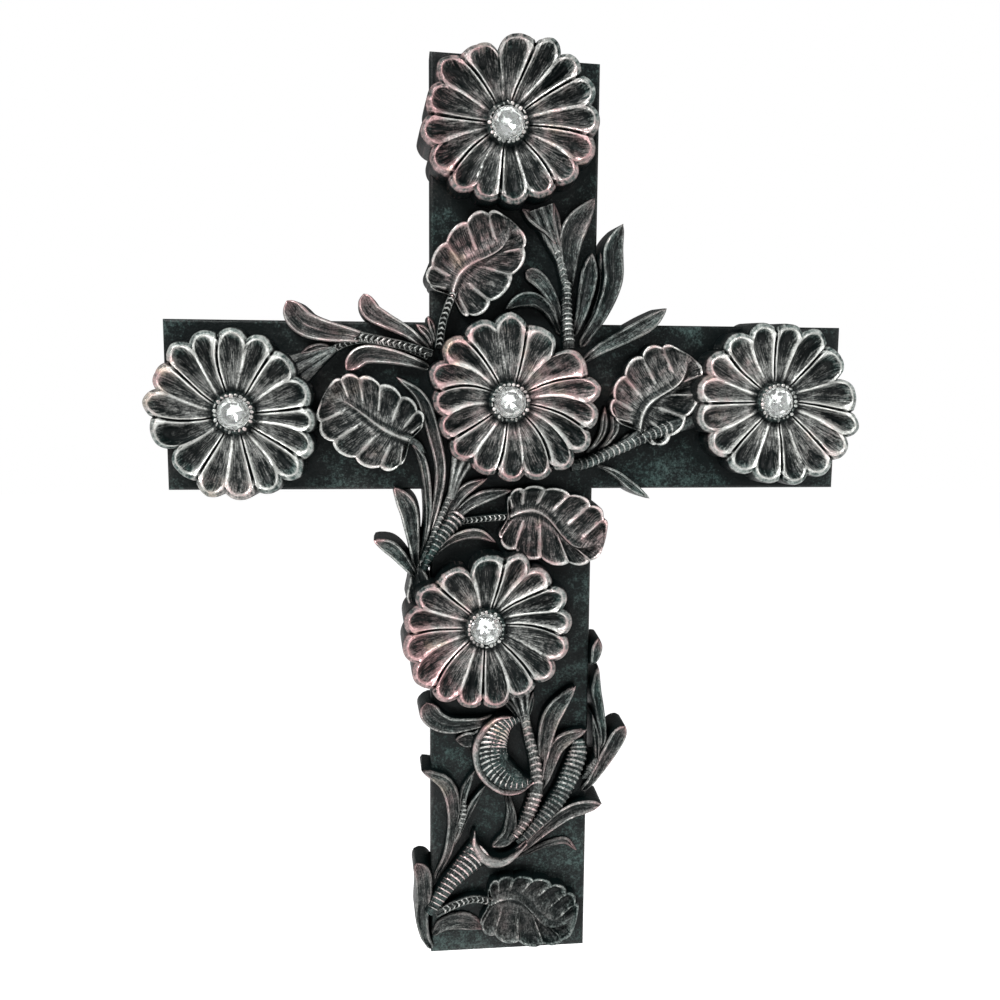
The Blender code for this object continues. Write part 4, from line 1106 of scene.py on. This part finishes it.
def make_leaf(name, stalk, tip, left, right, swing, lift, neck, lobe_counts, foot, finish, seed):
    start, end = np.array(stalk, float), np.array(tip, float)
    axis = end - start
    length = np.linalg.norm(axis)
    ahead = axis / length
    side = np.array((-ahead[1], ahead[0]))
    one_side = np.linspace(0, 1, LEAF_STEPS + 1)
    u = np.concatenate((one_side, one_side[-2:0:-1]))
    on_left = np.arange(len(u)) <= LEAF_STEPS
    lobes = np.where(on_left, *lobe_counts)
    spread = np.where(on_left, left, -right)
    on_rib = 0.02 + 0.9 * np.clip((u * LEAF_STEPS - 1) / (LEAF_STEPS - 2), 0, 1) ** 1.65
    rib = start + axis * on_rib[:, None] + side * (swing * length * np.sin(math.tau * on_rib))[:, None]
    phase = (u * lobes) % 1
    full = (4 * phase * (1 - phase)) ** 0.75
    forward_share = (1 - np.cos(math.pi * u)) / 2 - neck * np.sin(math.pi * u) * (1 - u) ** 2
    sideways = spread * np.sin(math.pi * u) ** LEAF_FULLNESS
    outline = start + axis * forward_share[:, None] + side * sideways[:, None]
    scallop = 1 - LEAF_SCALLOP * (1 - full) * smooth(np.minimum(u, 1 - u), 0, 0.05)
    outline = rib + (outline - rib) * scallop[:, None]
    reach = np.linalg.norm(outline - rib, axis=1)
    ends = smooth(u, 0, 0.05) * smooth(1 - u, 0, 0.06)
    rings, grain, crests = [], [], []
    for out in LEAF_RINGS:
        place = rib + (outline - rib) * out
        step = np.linalg.norm(np.roll(place, -1, axis=0) - np.roll(place, 1, axis=0), axis=1) / 2
        lobe_width = step * LEAF_STEPS / lobes
        dish = np.interp(out, (0, 0.3, 0.84, 1), (0.78, 0.62, 0.76, 0.97))
        to_edge, to_rib = (1 - out) * reach, out * reach
        to_vein = np.minimum(phase, 1 - phase) * lobe_width
        vein = VEIN_RISE * np.exp(-(to_vein / 0.55) ** 2) * smooth(out, 0.12, 0.45)
        clear = rounded_min(to_vein - 0.35, to_edge - 0.9, 1.6)
        pit = PIT_DEPTH * np.sin(np.clip(clear / 2.3, 0, 1) * math.pi / 2) ** 1.1 * smooth(out, 0.1, 0.6)
        rim = LEAF_RIM_RISE * np.exp(-((to_edge - 0.55) / 0.5) ** 2) * smooth(out, 0, 0.2)
        cord = np.exp(-(to_rib / (1.15 - 0.6 * u)) ** 2)
        beside = np.exp(-((to_rib - 1.9) / 0.8) ** 2)
        fading = smooth(1 - u, 0.02, 0.2)
        midrib = (MIDRIB_RISE * cord - MIDRIB_GROOVE * beside) * fading
        rough = 0.13 * waves(seed, place[:, 0], place[:, 1], 3.2) * smooth(out, 0.05, 0.2)
        high = BOARD_FACE + lift * dish + (vein - pit) * ends + rim + midrib + rough - 0.2
        ridge = np.exp(-(np.maximum(clear, 0) / 0.8) ** 2) * smooth(out, 0.1, 0.45) * ends
        crests.append(1.9 * np.maximum(ridge, cord * fading))
        rings.append(np.stack((place[:, 0], high, place[:, 1]), axis=1))
        grain.append(np.stack((phase * 5 + np.floor(u * lobes) * 7, to_rib), axis=1))
    high = rings[-1][:, 1]
    around = np.roll(outline, -1, axis=0) - np.roll(outline, 1, axis=0)
    normal = np.stack((-around[:, 1], around[:, 0]), axis=1)
    normal /= np.maximum(np.linalg.norm(normal, axis=1), 1e-6)[:, None]
    for share, away, drop in ((0, 0.2, 0.25), (0, 0.35, 0.7), (0.3, 0.5, 0.4), (0.6, 0.7, 0), (1.0, 0.85, 0)):
        place = outline + normal * away
        level = (high - drop) + (foot - high + drop) * share
        rings.append(np.stack((place[:, 0], level, place[:, 1]), axis=1))
        grain.append(grain[-1] + 0.4)
        crests.append(0.3 + 0 * u)
    return cast(name, np.array(rings), np.array(grain), finish, np.array(crests), folded=True)


QUIET_FINISH = antiqued("quiet_finish", 0.16, 0.4, 0.04, 0.5)
for number, (name, (*shape, rose)) in enumerate(ROUND_LEAVES.items()):
    leaf_finish, dull = (QUIET_FINISH, 0.56) if name == "lower_leaf" else (RELIEF_FINISH, 0.33)
    leaf = make_leaf(name, *shape, foot, leaf_finish, 71 + number)
    leaf["rosy"], leaf["dull"] = rose, dull
    foot += 0.01


# The finish of the casting: a near-black wash is wiped off and metal is rubbed on with a cloth, so what
# stands proud takes the most, and hollows, the hearts of the flowers and the sides take little. The wash is
# also painted darker beside taller relief and on the sides as painted shade, and lighter on the back as
# painted light.
MAP_STEP = 0.5
MAP_MARGIN = 5
MAP_BLUR = 8
NEAR_TURNS, FAR_TURNS = 4, 26


def stands_proud(mesh, near, far):
    """How far each vertex stands over the mean of what is close round it and of what is further off, in
    millimetres, with the vertices themselves and how squarely they face the front."""
    count = len(mesh.vertices)
    points = np.zeros(count * 3)
    mesh.vertices.foreach_get("co", points)
    points = points.reshape(-1, 3) / MM
    normals = np.zeros(count * 3)
    mesh.vertices.foreach_get("normal", normals)
    normals = normals.reshape(-1, 3)
    ends = np.zeros(len(mesh.edges) * 2, dtype=np.int64)
    mesh.edges.foreach_get("vertices", ends)
    a, b = ends.reshape(-1, 2).T
    degree = np.maximum(np.bincount(a, minlength=count) + np.bincount(b, minlength=count), 1)[:, None]
    soft = points.copy()
    found = []
    for turn in range(1, far + 1):
        mean = np.stack([np.bincount(a, weights=soft[b, k], minlength=count)
                         + np.bincount(b, weights=soft[a, k], minlength=count) for k in range(3)], axis=1)
        soft = soft * 0.3 + mean / degree * 0.7
        if turn in (near, far):
            found.append(np.einsum("ij,ij->i", points - soft, normals))
    return found[0], found[-1], points, -normals[:, 1]


def blurred(field, radius):
    """Running means along both ways, three times over."""
    for _ in range(3):
        for turn in (0, 1):
            field = np.swapaxes(field, 0, 1)
            padded = np.pad(field, ((radius + 1, radius), (0, 0)), mode="edge").cumsum(axis=0)
            field = (padded[2 * radius + 1:] - padded[:-2 * radius - 1]) / (2 * radius + 1)
    return field


low_x, low_z = LIMIT_LOW[0] - MAP_MARGIN, LIMIT_LOW[2] - MAP_MARGIN
columns = int((LIMIT_HIGH[0] - low_x + MAP_MARGIN) / MAP_STEP) + 1
rows = int((LIMIT_HIGH[2] - low_z + MAP_MARGIN) / MAP_STEP) + 1
ground = np.zeros((rows, columns))
measured = {}
for piece in casting:
    proud, swell, points, facing = stands_proud(piece.data, NEAR_TURNS, FAR_TURNS)
    i = ((points[:, 2] - low_z) / MAP_STEP).astype(int)
    j = ((points[:, 0] - low_x) / MAP_STEP).astype(int)
    np.maximum.at(ground, (i, j), -points[:, 1])
    measured[piece.name] = (proud, swell, points, facing, i, j)
for _ in range(2):
    filled = ground.copy()
    for shift in ((0, 1), (0, -1), (1, 0), (-1, 0)):
        filled = np.maximum(filled, np.roll(ground, shift, axis=(0, 1)) * (ground == 0))
    ground = filled
covered = np.maximum(blurred((ground > 0).astype(float), MAP_BLUR), 0.05)
wide = blurred(ground, MAP_BLUR) / covered
for piece in casting:
    proud, swell, points, facing, i, j = measured[piece.name]
    rosy = np.full(len(points), piece.get("rosy", 0.3))
    dull = np.full(len(points), piece.get("dull", 0.0))
    tip = np.zeros(len(points))
    if "tip" in piece:
        tip = np.exp(-(np.hypot(*(points[:, [0, 2]] - np.array(piece["tip"])).T) / 4.5) ** 2)
        rosy = rosy + 0.3 * tip
    if "middle" in piece:
        away = points[:, [0, 2]] - np.array(piece["middle"])
        reach = np.hypot(*away.T)
        low_left = -(away @ (0.75, 0.65)) / np.maximum(reach, 1)
        rosy = rosy * (0.34 + 0.66 * smooth(reach, 20, 30) * (0.55 + 0.45 * low_left))
        dull = np.maximum(dull, 1 - smooth(reach, 7.4, 8.5))
    crest = np.zeros(len(points), dtype=np.float32)
    if "crest" in piece.data.attributes:
        piece.data.attributes["crest"].data.foreach_get("value", crest)
        proud = proud * 0.25 + crest * 0.27
        swell = np.minimum(swell, 0.14) + 0.5 * np.minimum(crest, 0)
    elif piece is not board:
        proud = np.minimum(proud * 1.4, 0.42)
        swell = swell + 0.4 * tip
    # Side walls take less metal and a darker wash, partly a cloth that misses them and partly painted shade;
    # the back gets a lighter wash as painted light.
    turned_up = smooth(facing, 0.05, 0.55)
    turned_away = smooth(-facing, 0.5, 0.9)
    rubbed = turned_up * (1 - dull)
    # open: height over the blurred height map of the relief round it; low values make the wash darker beside
    # taller relief, as painted shade.
    open_and_painted_shading = (-points[:, 1] - wide[i, j]) * turned_up
    open_and_painted_shading = open_and_painted_shading - 4 * (1 - turned_up) * (1 - turned_away) + 4 * turned_away
    proud = np.clip(proud, -0.3, 0.6) * rubbed - 0.3 * (1 - turned_up)
    swell = np.clip(swell, -0.9, 0.6) * rubbed - 0.5 * (1 - turned_up) - 0.6 * dull
    for name, values in (("proud", proud), ("swell", swell), ("open", open_and_painted_shading), ("rosy", rosy)):
        layer = piece.data.attributes.new(name, "FLOAT", "POINT")
        layer.data.foreach_set("value", np.asarray(values, dtype=np.float32))
    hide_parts("cross_casting")
    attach(piece, "root")


# The studio: a pale paper floor well below, a big soft light above on the left, weaker ones on the right
# and from below, and a plain bright surround.
FLOOR_REACH = 6
FLOOR_LEVEL = -0.75
corner_signs = ((-1, -1), (1, -1), (1, 1), (-1, 1))
floor_corners = [(x * FLOOR_REACH, y * FLOOR_REACH, FLOOR_LEVEL) for x, y in corner_signs]
floor_mesh = bpy.data.meshes.new("floor")
floor_mesh.from_pydata(floor_corners, [], [(0, 1, 2, 3)])
floor = shown("floor", floor_mesh)
paper = Recipe(bpy.data.materials.new("floor_paper"))
paper_place = paper.add("ShaderNodeTexCoord", {}, {}, "Object")
fibres = paper.noise(paper_place, 3.0)
paper.feed("Base Color", paper.blended(fibres, (0.9, 0.9, 0.9, 1), (0.93, 0.93, 0.93, 1)))
paper.feed("Roughness", 0.9)
paper.feed("Emission Color", (1, 1, 1, 1))
paper.feed("Emission Strength", 0.77)
floor_mesh.materials.append(paper.made)


def soft_light(name, place, aim, size, power):
    lamp = bpy.data.lights.new(name, "AREA")
    lamp.shape = "RECTANGLE"
    lamp.size, lamp.size_y = size
    lamp.energy = power
    made = shown(name, lamp)
    made.location = place
    made.rotation_mode = "QUATERNION"
    made.rotation_quaternion = (Vector(aim) - Vector(place)).to_track_quat("-Z", "Y")


soft_light("key_light", (-0.7, -0.75, 0.95), (0, 0, 0), (0.6, 0.4), 34)
soft_light("side_light", (0.95, -0.7, 0.25), (0, 0, -0.05), (0.3, 0.9), 8)
soft_light("low_light", (-0.3, -0.9, -0.7), (0, 0, -0.05), (0.5, 0.25), 4)

sky = Recipe(bpy.data.worlds.new("surround"), "World Output")
bpy.context.scene.world = sky.made
plain = sky.add("ShaderNodeBackground", {}, {"Color": (1, 1, 1, 1), "Strength": 0.25})
seen = sky.add("ShaderNodeBackground", {}, {"Color": (1, 1, 1, 1), "Strength": 1.0})
looked_at = sky.add("ShaderNodeLightPath", {}, {}, "Is Camera Ray")
sky.feed("Surface", sky.add("ShaderNodeMixShader", {}, {0: looked_at, 1: plain, 2: seen}))
bpy.context.scene.view_settings.view_transform = "Standard"
